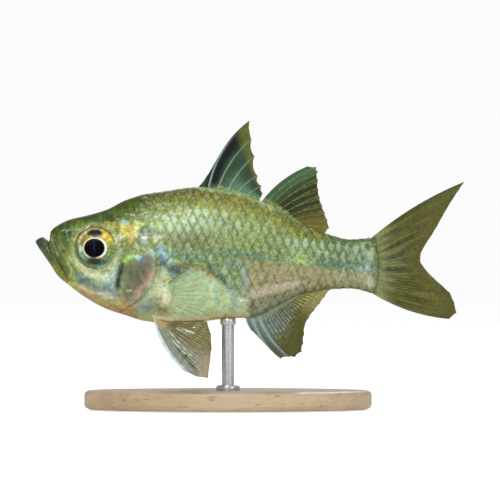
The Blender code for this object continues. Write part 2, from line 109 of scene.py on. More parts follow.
# Each nostril's place as (x, z) and its radius
NOSTRILS = ((-29.75, 28.3, 0.2), (-28.95, 28.15, 0.27))

# The rows of scales below and above the row line, and where along x their scales may start and end
ROW_NUMBERS = (-10, 10)
FIRST_SCALE_X, LAST_SCALE_X = -18.6, 19.4

# A scale plate: points along and across, how far forward its root is in pitches, its thickness, how
# deep its root is sunk, how much it bows up along its middle and how much it drops to its sides
SCALE_COLUMNS, SCALE_ROWS, SCALE_ROOT, SCALE_THICKNESS = 9, 11, 1.9, 0.055
SCALE_SINK, SCALE_BOW, SCALE_DROP = 0.07, 0.03, 0.02

# The table of places on the side that the scales lie on: its step along x, and points from below to top
SIDE_STEP, SIDE_POINTS = 0.1, 161

# Fins: where their rays leave the body along x, and their margins as (x, z)
FIRST_DORSAL_BASE = (-8.3, -6.7, -5.2, -3.6, -2.1, -0.5, 1.5)
FIRST_DORSAL_TIPS = ((-6.6, 37.3), (-0.1, 46.2), (0.2, 43.2), (0.7, 40.5), (1.2, 37.3), (1.8, 35.7),
                     (1.95, 34.5))
SECOND_DORSAL_BASE = (1.9, 8.9)
SECOND_DORSAL_MARGIN = ((9.3, 38.9), (10.8, 38.7), (10.95, 35), (11.6, 32.3), (12.4, 30.1),
                        (12.65, 28.9), (11.9, 28))
ANAL_SPINE_BASE = (-0.8, 0.3, 1.3)
ANAL_SPINE_TIPS = ((0.1, 12.6), (4.9, 7.95), (6.2, 8.25))
ANAL_RAY_BASE = (2.3, 8.8)
ANAL_MARGIN = ((7.2, 8.2), (8.2, 8.9), (8.6, 11.5), (8.7, 13.2), (9.5, 14.8), (10.9, 16.6),
               (12.75, 19.1))
CAUDAL_ROOT = ((19, 29), (19.5, 26), (19.8, 23), (19.5, 20), (19, 17))
CAUDAL_MARGIN = ((34.3, 36.4), (31.9, 32.8), (29.7, 28.9), (27.1, 24), (29.4, 20.9), (32.2, 18.2),
                 (33, 15.3), (31.8, 14.4))
PELVIC_BASE = (-15.4, -13.2)
PELVIC_MARGIN = ((-10.6, 6.2), (-8.15, 5.1), (-6.85, 4.85), (-6.5, 6.8), (-6.15, 10.7), (-6.48, 12.6),
                 (-6.95, 14))
PELVIC_ROOT_Y, PELVIC_SPLAY = 1.15, 0.22
PELVIC_STREAK = ((-11.6, 10.1), (-10.2, 8.3), (-8.7, 6.3))
# Painted highlights on the pelvic fin: lines as (x, z) and their widths
PELVIC_GLINT_LINES = ((((-11.5, 12.9), (-10.3, 12.5), (-9.2, 12.2)), 0.24),
                 (((-12.3, 10.9), (-10.4, 8.9)), 0.13),
                 (((-12.9, 12.4), (-11.4, 10.6), (-9.6, 8.7)), 0.12))
PECTORAL_ROOT = ((-13.5, 19.8), (-13.2, 18.4), (-13.6, 17))
PECTORAL_MARGIN = ((-9.2, 23), (-7.9, 22.9), (-6.8, 20), (-6.8, 16.4), (-8.8, 13.8))
PECTORAL_FLARE, PECTORAL_CLEAR = 0.12, 0.75

# A fin's half thickness, how much thicker its foot and how much thinner its margin is, how far a ray
# stands out, how far the fin sways to and fro, and how far from the outline its base line lies
FIN_HALF, FIN_FOOT, FIN_THINNING, RAY_HEIGHT, FIN_SWAY, FIN_GAP = 0.06, 0.1, 0.03, 0.13, 0.16, 0.1

# The rod's place along x. Its rings: height over the base or over the rod's top, radius and depth.
# The radius that their tops go in to, the step on them and their rounded edge
ROD_X = -3.6
COLLAR = (0.35, 1.9, 0.7)
SADDLE = (-0.25, 1.25, 0.9)
ROD_RADIUS, RING_STEP, RING_EDGE = 1, 0.12, 0.06

# How deep the fine relief of each surface is, in millimetres, and how water bends light
SKIN_BUMP, EYE_BUMP, WOOD_BUMP, STEEL_BUMP = 0.04, 0.02, 0.03, 0.01
WATER_IOR = 1.33

# Lamps: place, aim and size in metres, and power. Below them the sky's brightness, as light and as
# seen, and the floor's size and how far it lies under the stand, in metres
LAMPS = {
    "key": ((-0.12, -0.6, 0.34), (0, 0, 0.025), (0.3, 0.3), 2.1),
    "fill": ((0.45, -0.5, 0.18), (0, 0, 0.025), (0.3, 0.3), 0.5),
    "rim": ((0.1, 0.5, 0.45), (0, 0, 0.03), (0.4, 0.2), 1.2),
}
SKY_LIGHT, SKY_SEEN = 0.38, 0.97
FLOOR_SIZE, FLOOR_DROP = 60, 0.0002

# The photo: pixels along a side, millimetres for each pixel, the table's row, and the middle's x
PHOTO_SIDE, PHOTO_SCALE, TABLE_ROW, MIDDLE_X = 500, 0.16, 409, -0.08

# Marks on the side of the fish: their places as (x, z), a spot's two radii or a streak's width in
# millimetres, their colour from 0 to 255, and how strongly they cover what lies below
JAW_MARKS = (
    ((-31.84, 28.16), (0.4, 0.8), (60, 70, 50), 0.7),
    ((-33.76, 26.56), (0.85, 1.2), (44, 66, 76), 0.97),
    (((-33.3, 26.6), (-32.5, 25.2), (-31.9, 24.1)), 0.5, (68, 84, 56), 0.85),
    (LOWER_LIP_LINE, 0.13, (150, 166, 128), 0.7),
    (((-31.44, 22.56), (-30.48, 21.28), (-29.2, 20)), 0.72, (166, 152, 46), 0.9),
    (((-33.3, 24.9), (-31.7, 22.4), (-30, 20.5)), 0.3, (92, 94, 36), 0.8),
    ((-28.5, 19.9), (0.9, 0.55), (214, 198, 122), 0.8),
    (((-29.2, 23.52), (-28.56, 22.08), (-28.8, 21.12)), 0.14, (205, 218, 170), 0.7),
    (((-30.1, 26.1), (-29.5, 24.6), (-28.7, 23.2)), 0.5, (144, 160, 90), 0.75),
    ((-28.9, 23.9), (0.5, 0.9), (180, 196, 144), 0.6),
    ((-29.75, 25.3), (0.4, 0.4), (80, 92, 34), 0.7),
    ((-28.7, 26.4), (0.5, 0.6), (122, 142, 58), 0.6),
    ((-30.7, 27), (0.5, 0.5), (84, 98, 38), 0.6),
    ((-30.3, 23.6), (0.35, 0.6), (86, 96, 34), 0.6),
    ((-29.44, 28.48), (0.8, 0.42), (150, 178, 165), 0.85),
    # Painted shadow under the nostrils.
    (((-30, 28), (-29.04, 27.84)), 0.16, (60, 72, 50), 0.8),
    ((-28.24, 28.72), (0.48, 0.35), (120, 160, 80), 0.6),
)
CHEEK_MARKS = (
    (((-27.92, 23.61), (-27.05, 22.73), (-26.03, 22.01)), 0.2, (228, 226, 190), 0.75),
    ((-27.41, 22.15), (0.8, 0.65), (118, 136, 60), 0.8),
    (((-27.3, 23.3), (-26.17, 22.1), (-25.01, 21.5), (-23.7, 21.3), (-22.68, 21.7), (-21.96, 22.5)),
     0.55, (230, 240, 190), 1),
    # Painted highlight: white glints along the cream band.
    (((-26.6, 22.7), (-25.6, 21.8), (-24.3, 21.5)), 0.2, (252, 250, 218), 0.9),
    (((-27.34, 21.28), (-26.47, 20.41), (-25.16, 19.75), (-23.7, 19.24), (-22.54, 19.32)),
     0.62, (102, 126, 124), 0.88),
    ((-26.4, 20.5), (1.3, 0.7), (86, 116, 112), 0.85),
    ((-25.3, 19.97), (0.73, 0.51), (110, 122, 108), 0.7),
    ((-23.7, 19.24), (0.87, 0.55), (138, 144, 142), 0.75),
    ((-22.54, 19.53), (0.65, 0.65), (112, 152, 178), 0.85),
    ((-22.03, 20.19), (0.32, 0.58), (128, 176, 204), 0.8),
    (((-23.27, 20.7), (-22.54, 20.41), (-21.96, 21.43)), 0.3, (176, 226, 222), 0.8),
    ((-22.76, 20.7), (0.26, 0.29), (226, 248, 244), 0.9),
    ((-22.03, 21.57), (0.2, 0.32), (214, 244, 246), 0.9),
    (((-20.6, 25.2), (-21.4, 23.6), (-22.4, 21.9)), 0.55, (154, 196, 168), 0.75),
    (((-21.2, 23.9), (-21.8, 22.6)), 0.16, (206, 236, 216), 0.8),
    ((-20.94, 24.63), (0.58, 1.31), (150, 158, 118), 0.5),
    (((-21.37, 25.35), (-21.3, 23.9)), 0.1, (206, 206, 170), 0.5),
    (((-27.34, 19.53), (-25.88, 18.95), (-23.99, 18.52), (-22.25, 18.44)), 0.2, (226, 212, 180), 0.85),
    ((-22.83, 17.86), (1.31, 0.44), (204, 226, 202), 0.85),
    (((-24.72, 18.08), (-23.27, 17.13), (-21.67, 16.55)), 0.2, (134, 140, 84), 0.6),
    (((-30, 20.4), (-28.6, 19.2), (-27, 18.1)), 0.6, (168, 150, 62), 0.75),
    (((-26.9, 18.6), (-25.4, 17.6), (-24, 16.9), (-21.96, 16.04), (-19.34, 15.68)),
     0.6, (186, 156, 100), 0.85),
    (((-21.37, 15.9), (-19.92, 15.75), (-18.47, 16.33)), 0.35, (178, 136, 76), 0.8),
    ((-21.6, 18.3), (0.8, 1.1), (150, 160, 172), 0.85),
    (((-20.94, 17.79), (-21.23, 16.92)), 0.3, (222, 200, 170), 0.8),
)
GILL_COVER_MARKS = (
    ((-18.4, 21.4), (2.3, 2.9), (95, 91, 80), 0.95),
    ((-19.4, 18.6), (1.15, 1.8), (102, 94, 85), 0.9),
    ((-17.2, 22.4), (1.6, 1.8), (108, 98, 98), 0.85),
    ((-16, 22.7), (1, 2.1), (122, 108, 98), 0.9),
    ((-16.3, 24.3), (1.15, 0.95), (112, 108, 126), 0.85),
    (((-19.99, 22.73), (-20.14, 20.7), (-20.14, 18.52)), 0.2, (104, 116, 76), 0.6),
    (((-15.5, 21.5), (-16.3, 20.5), (-17.3, 19.2), (-18.7, 17.5)), 0.85, (180, 148, 134), 0.88),
    (((-15.9, 21), (-16.9, 19.7), (-18.1, 18.3)), 0.32, (200, 160, 148), 0.8),
    ((-15.5, 21.6), (0.5, 0.45), (218, 166, 126), 0.85),
    (((-18.12, 19.99), (-19.28, 18.24), (-20.01, 17.08)), 0.2, (112, 106, 100), 0.6),
    (((-20.18, 23.32), (-20.53, 22.15)), 0.15, (46, 62, 52), 0.95),
    (((-20.44, 22.7), (-20.74, 21.6), (-21.02, 20.55), (-21.15, 19.7)), 0.6, (42, 56, 50), 1),
    (((-21.4, 22.3), (-21.8, 20.9), (-22.1, 19.4)), 0.14, (196, 216, 222), 0.85),
    (((-19.9, 23.3), (-20.1, 21.4), (-20.3, 19.4)), 0.1, (150, 172, 130), 0.6),
    (((-20.79, 16.33), (-19.63, 16.19), (-18.47, 16.77)), 0.25, (196, 158, 128), 0.8),
    (((-19.99, 23.75), (-19.05, 24.36)), 0.3, (206, 240, 120), 0.95),
    (((-19.05, 24.26), (-18.03, 24.48)), 0.26, (190, 240, 190), 0.95),
    (((-18.25, 24.33), (-17.52, 24.12)), 0.28, (180, 232, 240), 0.95),
    ((-17.19, 23.87), (0.35, 0.32), (76, 132, 214), 0.98),
    # Painted highlights: two small white glints.
    (((-19.72, 18.89), (-18.99, 19.08)), 0.08, (230, 236, 232), 0.9),
    (((-19.06, 16.71), (-18.26, 17.29)), 0.1, (222, 230, 228), 0.9),
    (((-15, 20.9), (-15.85, 19.66), (-16.9, 18.5), (-18.3, 17.1)), 0.28, (156, 170, 152), 0.85),
    (((-15.5, 19.48), (-16.66, 18.17), (-17.68, 17.51), (-19.13, 16.49)), 0.1, (84, 88, 66), 0.85),
)
NAPE_MARKS = (
    (((-22.4, 29.5), (-20.9, 29.3), (-19.2, 29.1), (-18.1, 28.8)), 0.6, (214, 190, 66), 0.9),
    (((-20.3, 28.4), (-19.13, 27.9), (-18.55, 28.3)), 0.45, (232, 204, 62), 0.9),
    ((-18.92, 27.04), (0.55, 0.47), (208, 168, 50), 0.9),
    ((-20.59, 27.55), (0.73, 0.58), (218, 220, 180), 0.75),
    ((-18.12, 27.77), (0.32, 0.38), (242, 240, 224), 0.95),
    ((-22.19, 27.77), (0.29, 0.32), (226, 160, 60), 0.8),
    ((-20.15, 29.76), (0.87, 0.41), (150, 192, 172), 0.9),
    (((-18.26, 29.88), (-17.1, 29.44)), 0.3, (214, 240, 150), 0.95),
    (((-18.55, 29.08), (-17.61, 28.86)), 0.2, (228, 232, 170), 0.8),
    ((-22.1, 30.5), (0.73, 0.73), (52, 70, 24), 0.9),
    ((-27.4, 29.3), (1.5, 0.9), (118, 148, 40), 0.7),
    ((-20.21, 30.44), (0.87, 0.44), (84, 104, 48), 0.7),
    ((-19.13, 30.6), (0.73, 0.44), (64, 84, 34), 0.8),
    ((-19.57, 26.02), (1.31, 0.73), (140, 132, 80), 0.6),
    ((-21.17, 26.09), (0.41, 0.87), (168, 156, 136), 0.55),
    ((-17.97, 25.66), (0.44, 0.44), (210, 200, 150), 0.6),
    ((-17.68, 26.53), (0.44, 0.58), (104, 118, 84), 0.6),
)
SHOULDER_MARKS = (
    (((-17.6, 28.6), (-16.9, 28.95), (-16, 28.5), (-15, 27.95)), 0.42, (52, 66, 32), 0.9),
    ((-16.81, 27.26), (0.65, 1.24), (164, 182, 176), 0.85),
    # Painted highlight: a white arc.
    (((-17.24, 27.4), (-16.37, 27.46)), 0.12, (248, 248, 248), 0.95),
    ((-15.1, 27.1), (0.5, 0.6), (226, 218, 184), 0.75),
    ((-14.4, 27.5), (0.6, 0.4), (222, 206, 178), 0.7),
    ((-14.51, 27.62), (0.16, 0.14), (196, 140, 120), 0.7),
    (((-16.08, 25.95), (-15.64, 24.93), (-14.84, 24.64)), 0.28, (152, 194, 184), 0.75),
    (((-14.2, 25.3), (-13.7, 24.5), (-13.3, 23.6)), 0.6, (120, 178, 208), 0.95),
    ((-13.6, 23.75), (0.95, 1.2), (78, 146, 198), 0.97),
    ((-13.9, 24.3), (0.34, 0.34), (62, 124, 190), 0.85),
    (((-12.85, 25.7), (-12.75, 24.2), (-13.05, 23)), 0.15, (200, 226, 176), 0.9),
    (((-12.44, 24.06), (-11.57, 23.77)), 0.16, (190, 212, 92), 0.85),
    ((-14.6, 23.4), (0.9, 1.3), (112, 110, 74), 0.9),
    (((-15, 23.8), (-14.8, 22), (-15, 20.8)), 0.6, (126, 124, 84), 0.85),
    (((-13.9, 23.3), (-12.7, 22.5), (-11.3, 22.5), (-9.6, 23)), 0.62, (84, 98, 84), 0.9),
    ((-11.8, 22.35), (1.4, 1.2), (76, 94, 94), 0.92),
    ((-12.44, 21.29), (0.44, 0.58), (122, 132, 126), 0.6),
    ((-10.19, 22.89), (1.09, 0.61), (128, 114, 76), 0.8),
    ((-14.33, 20.86), (0.9, 0.87), (188, 176, 138), 0.7),
    ((-14.99, 20.64), (0.32, 0.44), (220, 226, 212), 0.9),
    ((-15.35, 18.65), (0.29, 0.2), (240, 240, 232), 0.9),
    ((-16.23, 18.07), (0.32, 0.16), (238, 234, 226), 0.85),
    ((-15.2, 17.4), (1.2, 0.7), (150, 132, 116), 0.8),
    ((-13.2, 20.55), (0.62, 0.48), (204, 184, 66), 0.92),
    ((-13.97, 20.35), (0.22, 0.16), (84, 76, 54), 0.9),
    ((-14.39, 21.51), (0.16, 0.15), (100, 90, 60), 0.8),
    ((-13.72, 19.81), (0.16, 0.13), (92, 84, 60), 0.8),
    ((-16.6, 16.2), (2.3, 1.6), (126, 137, 128), 0.95),
    ((-14, 15.9), (1.7, 1.5), (134, 116, 58), 0.95),
    (((-15.4, 14.7), (-12, 14.2), (-7, 14.4)), 0.4, (255, 240, 196), 0.9),
    (((-14.77, 17.22), (-14.74, 15.62)), 0.13, (126, 114, 72), 0.75),
    (((-14.8, 18.9), (-13.9, 18.2), (-13.3, 17.3)), 0.8, (230, 216, 176), 0.9),
    ((-13.6, 19), (0.45, 0.8), (214, 210, 164), 0.7),
    ((-13.7, 17.75), (0.55, 0.75), (255, 246, 222), 0.97),
)
BELLY_MARKS = (
    ((-12.08, 22.48), (1.44, 1.04), (84, 102, 76), 0.8),
    ((-11.52, 23.84), (0.56, 0.29), (190, 214, 90), 0.8),
    ((-7.84, 23.28), (0.8, 0.29), (196, 220, 96), 0.8),
    ((-7.28, 21.92), (0.72, 0.72), (186, 150, 84), 0.7),
    (((-9.8, 23.4), (-8.2, 23), (-6.6, 22.9), (-5.6, 21.6), (-4.2, 20.5), (-2.8, 19.1)),
     0.6, (50, 74, 64), 0.97),
    (((-9.4, 22.9), (-8, 22.6), (-6.8, 22), (-5.7, 20.9)), 0.3, (164, 132, 74), 0.8),
    ((-10.1, 23.6), (0.5, 0.22), (190, 222, 100), 0.85),
    (((-9, 23.45), (-8, 23.3), (-6.9, 23)), 0.16, (186, 226, 104), 0.9),
    ((-9.95, 23.1), (0.45, 0.3), (170, 134, 74), 0.8),
    ((-6.3, 21.6), (0.4, 0.4), (186, 150, 84), 0.8),
    (((-6.9, 19.4), (-6.4, 17.6), (-6, 16.1)), 0.3, (200, 210, 120), 0.7),
    (((-4.7, 18.8), (-4.2, 17.4), (-4.5, 16.2)), 0.35, (190, 194, 108), 0.65),
    (((-5.5, 18.6), (-5.2, 16.8)), 0.3, (156, 190, 162), 0.6),
    (((-3, 19.4), (-2.4, 17.5), (-2.7, 15.6)), 0.5, (160, 172, 164), 0.65),
    (((-1.5, 23.2), (-1.1, 21.6), (-0.9, 20.2)), 0.26, (92, 124, 134), 0.8),
    ((-2.3, 23.4), (0.5, 0.8), (84, 100, 110), 0.85),
    ((-0.88, 20.48), (0.8, 2.88), (140, 160, 162), 0.7),
    # Painted highlight: an ivory glint.
    ((-1.2, 17.36), (0.75, 0.42), (255, 254, 220), 1),
)
REAR_MARKS = (
    (((0.56, 18.4), (3.12, 19.04), (5.52, 19.68), (7.28, 20.16)), 0.7, (212, 200, 178), 0.8),
    (((0.7, 15.7), (3.4, 16.9), (6.4, 18.3), (8.6, 19.2)), 0.62, (136, 150, 130), 0.85),
    ((1.3, 16.6), (0.42, 0.42), (160, 176, 150), 0.8),
    ((3, 17.3), (0.5, 0.36), (158, 172, 132), 0.8),
    ((4.9, 17.9), (0.5, 0.36), (156, 170, 130), 0.8),
    ((7, 18.7), (0.5, 0.32), (158, 170, 126), 0.7),
    (((0.88, 20.48), (1.84, 20), (2.8, 20.48), (4.08, 20.16), (5.36, 20.48), (8.4, 20.8)),
     0.13, (96, 92, 56), 0.7),
    (((0.72, 17.12), (2.8, 17.44), (5.52, 18.24)), 0.38, (118, 128, 112), 0.7),
    (((0.3, 16.2), (0.55, 17.4), (1.9, 17.9), (3.44, 18), (5.68, 18.75), (7.4, 19.3)),
     0.13, (72, 66, 46), 0.8),
    (((0.2, 14.9), (0.3, 16), (0, 17.5)), 0.3, (78, 88, 70), 0.7),
    ((16.6, 24.8), (0.8, 0.9), (178, 202, 190), 0.7),
    ((18.8, 24.6), (0.8, 0.9), (176, 200, 182), 0.75),
    ((18.3, 22.6), (1.3, 0.5), (188, 208, 206), 0.75),
    ((18.9, 20.2), (0.9, 1.1), (200, 218, 188), 0.8),
    (((19.4, 25.3), (19.5, 23.9)), 0.25, (196, 214, 150), 0.7),
    (((2.5, 15.9), (6, 17.3), (8.6, 18.7), (12.3, 19.3), (16, 19.5), (19.4, 18.8)),
     0.28, (92, 106, 92), 0.75),
    # Painted highlight: a bright yellow-green glint along the stripe.
    (((5.7, 24), (7.6, 23.75), (9.9, 23.5)), 0.14, (226, 250, 150), 0.8),
    (((17.4, 23.2), (18.9, 23.3), (20, 22.4)), 0.1, (66, 84, 56), 0.7),
    ((18.16, 21.44), (0.48, 0.56), (206, 170, 150), 0.7),
    (((-5, 34.3), (0, 33.3), (4, 31.5), (8, 28.9), (11.5, 27.7)), 0.45, (142, 134, 40), 0.5),
    ((-2.48, 33.4), (0.9, 0.4), (190, 180, 50), 0.7),
    ((3.2, 32.1), (1, 0.45), (196, 190, 56), 0.75),
    (((-8.2, 35.3), (-5.5, 34.9), (-2.48, 34.5), (1.84, 33)), 0.3, (202, 228, 172), 0.9),
    (((1.84, 33), (5.52, 31.35), (8.6, 29.35), (10.2, 28.7)), 0.3, (188, 216, 160), 0.9),
)

# Marks in the eye, as the same rows, with places measured from its middle
EYE_MARKS = (
    (((1.05, 2.58), (2.07, 1.93), (2.57, 0.91)), 0.45, (222, 196, 66), 0.9),
    ((1.63, 2), (0.52, 0.52), (238, 216, 72), 0.8),
    (((1.85, 2.44), (2.65, 1.71)), 0.12, (240, 190, 130), 0.9),
    ((1.89, 0.91), (0.41, 0.44), (196, 184, 100), 0.6),
    (((-2.76, 0.48), (-2.37, 1.57), (-1.4, 2.54)), 0.22, (240, 234, 178), 0.95),
    (((-2.08, 0.91), (-1.6, 1.9)), 0.24, (132, 128, 56), 0.85),
    (((-1.5, 2.73), (-0.12, 3.12), (1.34, 2.77)), 0.1, (224, 206, 130), 0.85),
    ((0.05, 2.36), (1.36, 0.66), (28, 42, 42), 1),
    ((-0.8, 2.3), (0.6, 0.45), (36, 52, 40), 0.5),
    ((0.35, 2.36), (0.75, 0.5), (32, 44, 68), 0.8),
    ((-2.3, -0.14), (0.32, 0.7), (208, 228, 206), 0.85),
    (((-2.4, -0.76), (-1.86, -1.59)), 0.3, (140, 176, 150), 0.85),
    (((-2.79, 0.77), (-2.91, -0.11), (-2.59, -1.27), (-1.79, -2.14)), 0.14, (62, 86, 58), 0.9),
    ((2.53, -0.25), (0.65, 1.45), (112, 140, 74), 0.85),
    (((2.18, 0.77), (2.3, -0.4), (2.07, -1.27)), 0.1, (178, 188, 112), 0.7),
    (((3.01, 0.77), (3.2, -0.4), (2.94, -1.71)), 0.09, (214, 212, 140), 0.9),
    ((-0.41, -2.22), (1.16, 0.58), (72, 90, 68), 0.85),
    ((1.34, -2.29), (1.16, 0.61), (64, 96, 76), 0.8),
    ((-0.05, -2.05), (1.2, 0.6), (58, 50, 36), 0.85),
    (((0.61, -3.09), (1.77, -2.87), (2.65, -2.14), (3.08, -1.27)), 0.27, (152, 190, 178), 0.95),
    (((0.17, -3.45), (1.48, -3.35), (2.65, -2.58), (3.27, -1.42)), 0.09, (226, 222, 190), 0.9),
    (((0.03, -3.63), (1.34, -3.58)), 0.07, (176, 120, 60), 0.8),
)


# Curves and places on the body

def smooth_curve(knots, values):
    """A smooth function through the values at the knots, with no bump between two of them."""
    knots = np.asarray(knots, float)
    values = np.asarray(values, float)
    steps = np.diff(knots)
    slopes = np.diff(values) / steps
    tangents = np.zeros(len(values))
    tangents[0] = slopes[0]
    tangents[-1] = slopes[-1]
    for i in range(1, len(values) - 1):
        if slopes[i - 1] * slopes[i] > 0:
            tangents[i] = 2 / (1 / slopes[i - 1] + 1 / slopes[i])

    def at(where):
        where = np.clip(where, knots[0], knots[-1])
        i = np.clip(np.searchsorted(knots, where, side="right") - 1, 0, len(steps) - 1)
        t = (where - knots[i]) / steps[i]
        start = (1 + 2 * t) * (1 - t) ** 2 * values[i] + t * (1 - t) ** 2 * steps[i] * tangents[i]
        end = t * t * (3 - 2 * t) * values[i + 1] + t * t * (t - 1) * steps[i] * tangents[i + 1]
        return start + end

    return at


def smooth_line(points, count, span=(0, 1)):
    """Places spread evenly along a smooth line through the points, over a share of its length."""
    points = np.array(points, float)
    lengths = np.concatenate([[0], np.cumsum(np.linalg.norm(np.diff(points, axis=0), axis=1))])
    shares = np.linspace(*span, count)
    return np.stack([smooth_curve(lengths / lengths[-1], column)(shares) for column in points.T], axis=1)


def ramp(low, high, value):
    """Rises smoothly from 0 to 1 as the value goes from low to high."""
    t = np.clip((value - low) / (high - low), 0, 1)
    return t * t * (3 - 2 * t)


body_top = smooth_curve(BODY_X, BODY_TOP)
body_bottom = smooth_curve(BODY_X, BODY_BOTTOM)
body_half_width = smooth_curve(BODY_X, BODY_HALF_WIDTH)
section_power = smooth_curve(SECTION_X, SECTION_POWER)
stripe_height = smooth_curve(*zip(*STRIPE))
row_height = smooth_curve(*zip(*LATERAL_ROWS))


def section(x):
    """Middle height, half height and half width of the body at x, rounded off at the snout."""
    closing = np.clip((x - BODY_X[0]) / SNOUT_ROUNDING, 0, 1)
    rounding = np.sqrt(np.maximum(1 - (1 - closing) ** 2, 0.01))
    middle = (body_top(x) + body_bottom(x)) / 2
    half_height = (body_top(x) - body_bottom(x)) / 2
    return middle, half_height * rounding, body_half_width(x) * rounding


def flank(x, z):
    """Half width of the body at a place on its side."""
    middle, half_height, half_width = section(x)
    across = np.clip(np.abs(z - middle) / half_height, 0, 1)
    return half_width * np.sqrt(1 - across * across) ** section_power(x)


def underside(x, y):
    middle, half_height, half_width = section(x)
    level = (y / half_width) ** (1 / section_power(x))
    return middle - half_height * np.sqrt(1 - level * level)


def line_distance(x, z, line):
    """Distance from each place to a line, the share along it of the nearest point, and the side."""
    best = np.full(np.shape(x), 1e9)
    share = np.zeros(np.shape(x))
    side = np.ones(np.shape(x))
    line = np.asarray(line, float)
    for i, (start, end) in enumerate(zip(line[:-1], line[1:])):
        along = end - start
        t = ((x - start[0]) * along[0] + (z - start[1]) * along[1]) / (along @ along)
        t = np.clip(t, 0, 1)
        dx = x - start[0] - t * along[0]
        dz = z - start[1] - t * along[1]
        distance = np.hypot(dx, dz)
        closer = distance < best
        best = np.where(closer, distance, best)
        share = np.where(closer, (i + t) / (len(line) - 1), share)
        side = np.where(closer, np.sign(along[0] * dz - along[1] * dx), side)
    return best, share, side


def peak(value, middle, width):
    """1 where the value is at the middle, falling off softly on both sides."""
    return np.exp(-((value - middle) / width) ** 2)


def from_line(x, z, points, count=30):
    """Distance, share and side of places, from a smooth line through the points."""
    return line_distance(x, z, smooth_line(points, count))


def spot(x, z, centre, radii, soft=0.6):
    """1 inside an oval on the side of the fish, fading to 0 at its edge."""
    far = np.hypot((x - centre[0]) / radii[0], (z - centre[1]) / radii[1])
    return 1 - ramp(1 - soft, 1, far)


def band(x, z, points, width):
    """1 along a line on the side of the fish, falling off to both sides."""
    return peak(from_line(x, z, points, 24)[0], 0, width)


def waves(x, z, size, seed):
    """Smooth wandering values between 0 and 1, from a few waves with seeded directions."""
    draw = np.random.default_rng(seed)
    total = np.zeros(np.broadcast(x, z).shape)
    for _ in range(7):
        angle = draw.uniform(0, math.pi)
        pitch = size * draw.uniform(0.6, 1.6)
        phase = draw.uniform(0, 2 * math.pi)
        total += np.sin(2 * math.pi * (x * math.cos(angle) + z * math.sin(angle)) / pitch + phase)
    return np.clip(0.5 + total / 7, 0, 1)


# Colours as the eye sees them, from 0 to 255, turned into light

def tone(red, green, blue):
    colour = np.array([red, green, blue], float) / 255
    return np.where(colour <= 0.04045, colour / 12.92, ((colour + 0.055) / 1.055) ** 2.4)


class Coat:
    """Colours at places on a surface, laid one over the other."""

    def __init__(self, shape, *ground):
        self.colours = np.zeros((*shape, 3)) + tone(*ground)

    def lay(self, mask, *colour):
        """Lays a tone, or colours of its own for each place, where the mask is above 0."""
        mask = np.clip(mask, 0, 1)[..., None]
        over = tone(*colour) if len(colour) == 3 else colour[0]
        self.colours = self.colours * (1 - mask) + over * mask

    def mark(self, x, z, px, pz, marks):
        """Lays placed marks: spots at the drifted places, and streaks that drift less."""
        near_x, near_z = x + 0.3 * (px - x), z + 0.3 * (pz - z)
        for places, size, colour, strength in marks:
            if isinstance(size, tuple):
                soft = 0.5 if min(size) < 0.8 else 0.85
                grown = 1 + 0.3 * soft
                mask = spot(px, pz, places, (grown * size[0], grown * size[1]), soft)
            else:
                mask = band(near_x, near_z, places, size)
            self.lay(mask * strength, *colour)


def drift(x, z, reach, size, seed):
    """Places moved a little to and fro, so that marks laid there get uneven edges."""
    return (x + reach * (2 * waves(x, z, size, seed) - 1),
            z + reach * (2 * waves(x, z, size, seed + 1) - 1))


def tail_taper(x):
    """The body thins out to meet the tail fin."""
    return 1 - 0.62 * ramp(18.6, 20.3, x)


def tail_place(x, z):
    """Moves the body's rear end so that it follows the curved root of the tail fin."""
    end = np.interp(z, *TAIL_EDGE)
    moved = TAIL_START + (x - TAIL_START) * (end - TAIL_START) / (BODY_END - TAIL_START)
    return np.where(x > TAIL_START, moved, x)


def belly_share(x, z):
    """1 on the smooth belly in front, where hardly a scale shows, 0 elsewhere."""
    edge = np.interp(x, *BELLY_EDGE)
    return ramp(0.6, -0.8, z - edge) * ramp(0.6, -1.4, x)


def richer(colours):
    """Olive and yellow tones, deepened and with less blue."""
    olive = ramp(0.42, 0.68, 1 - colours[..., 2] / np.maximum(colours[..., 1], 0.001))
    return colours * (1 - olive[..., None] * (0.05, 0.03, 0.24))


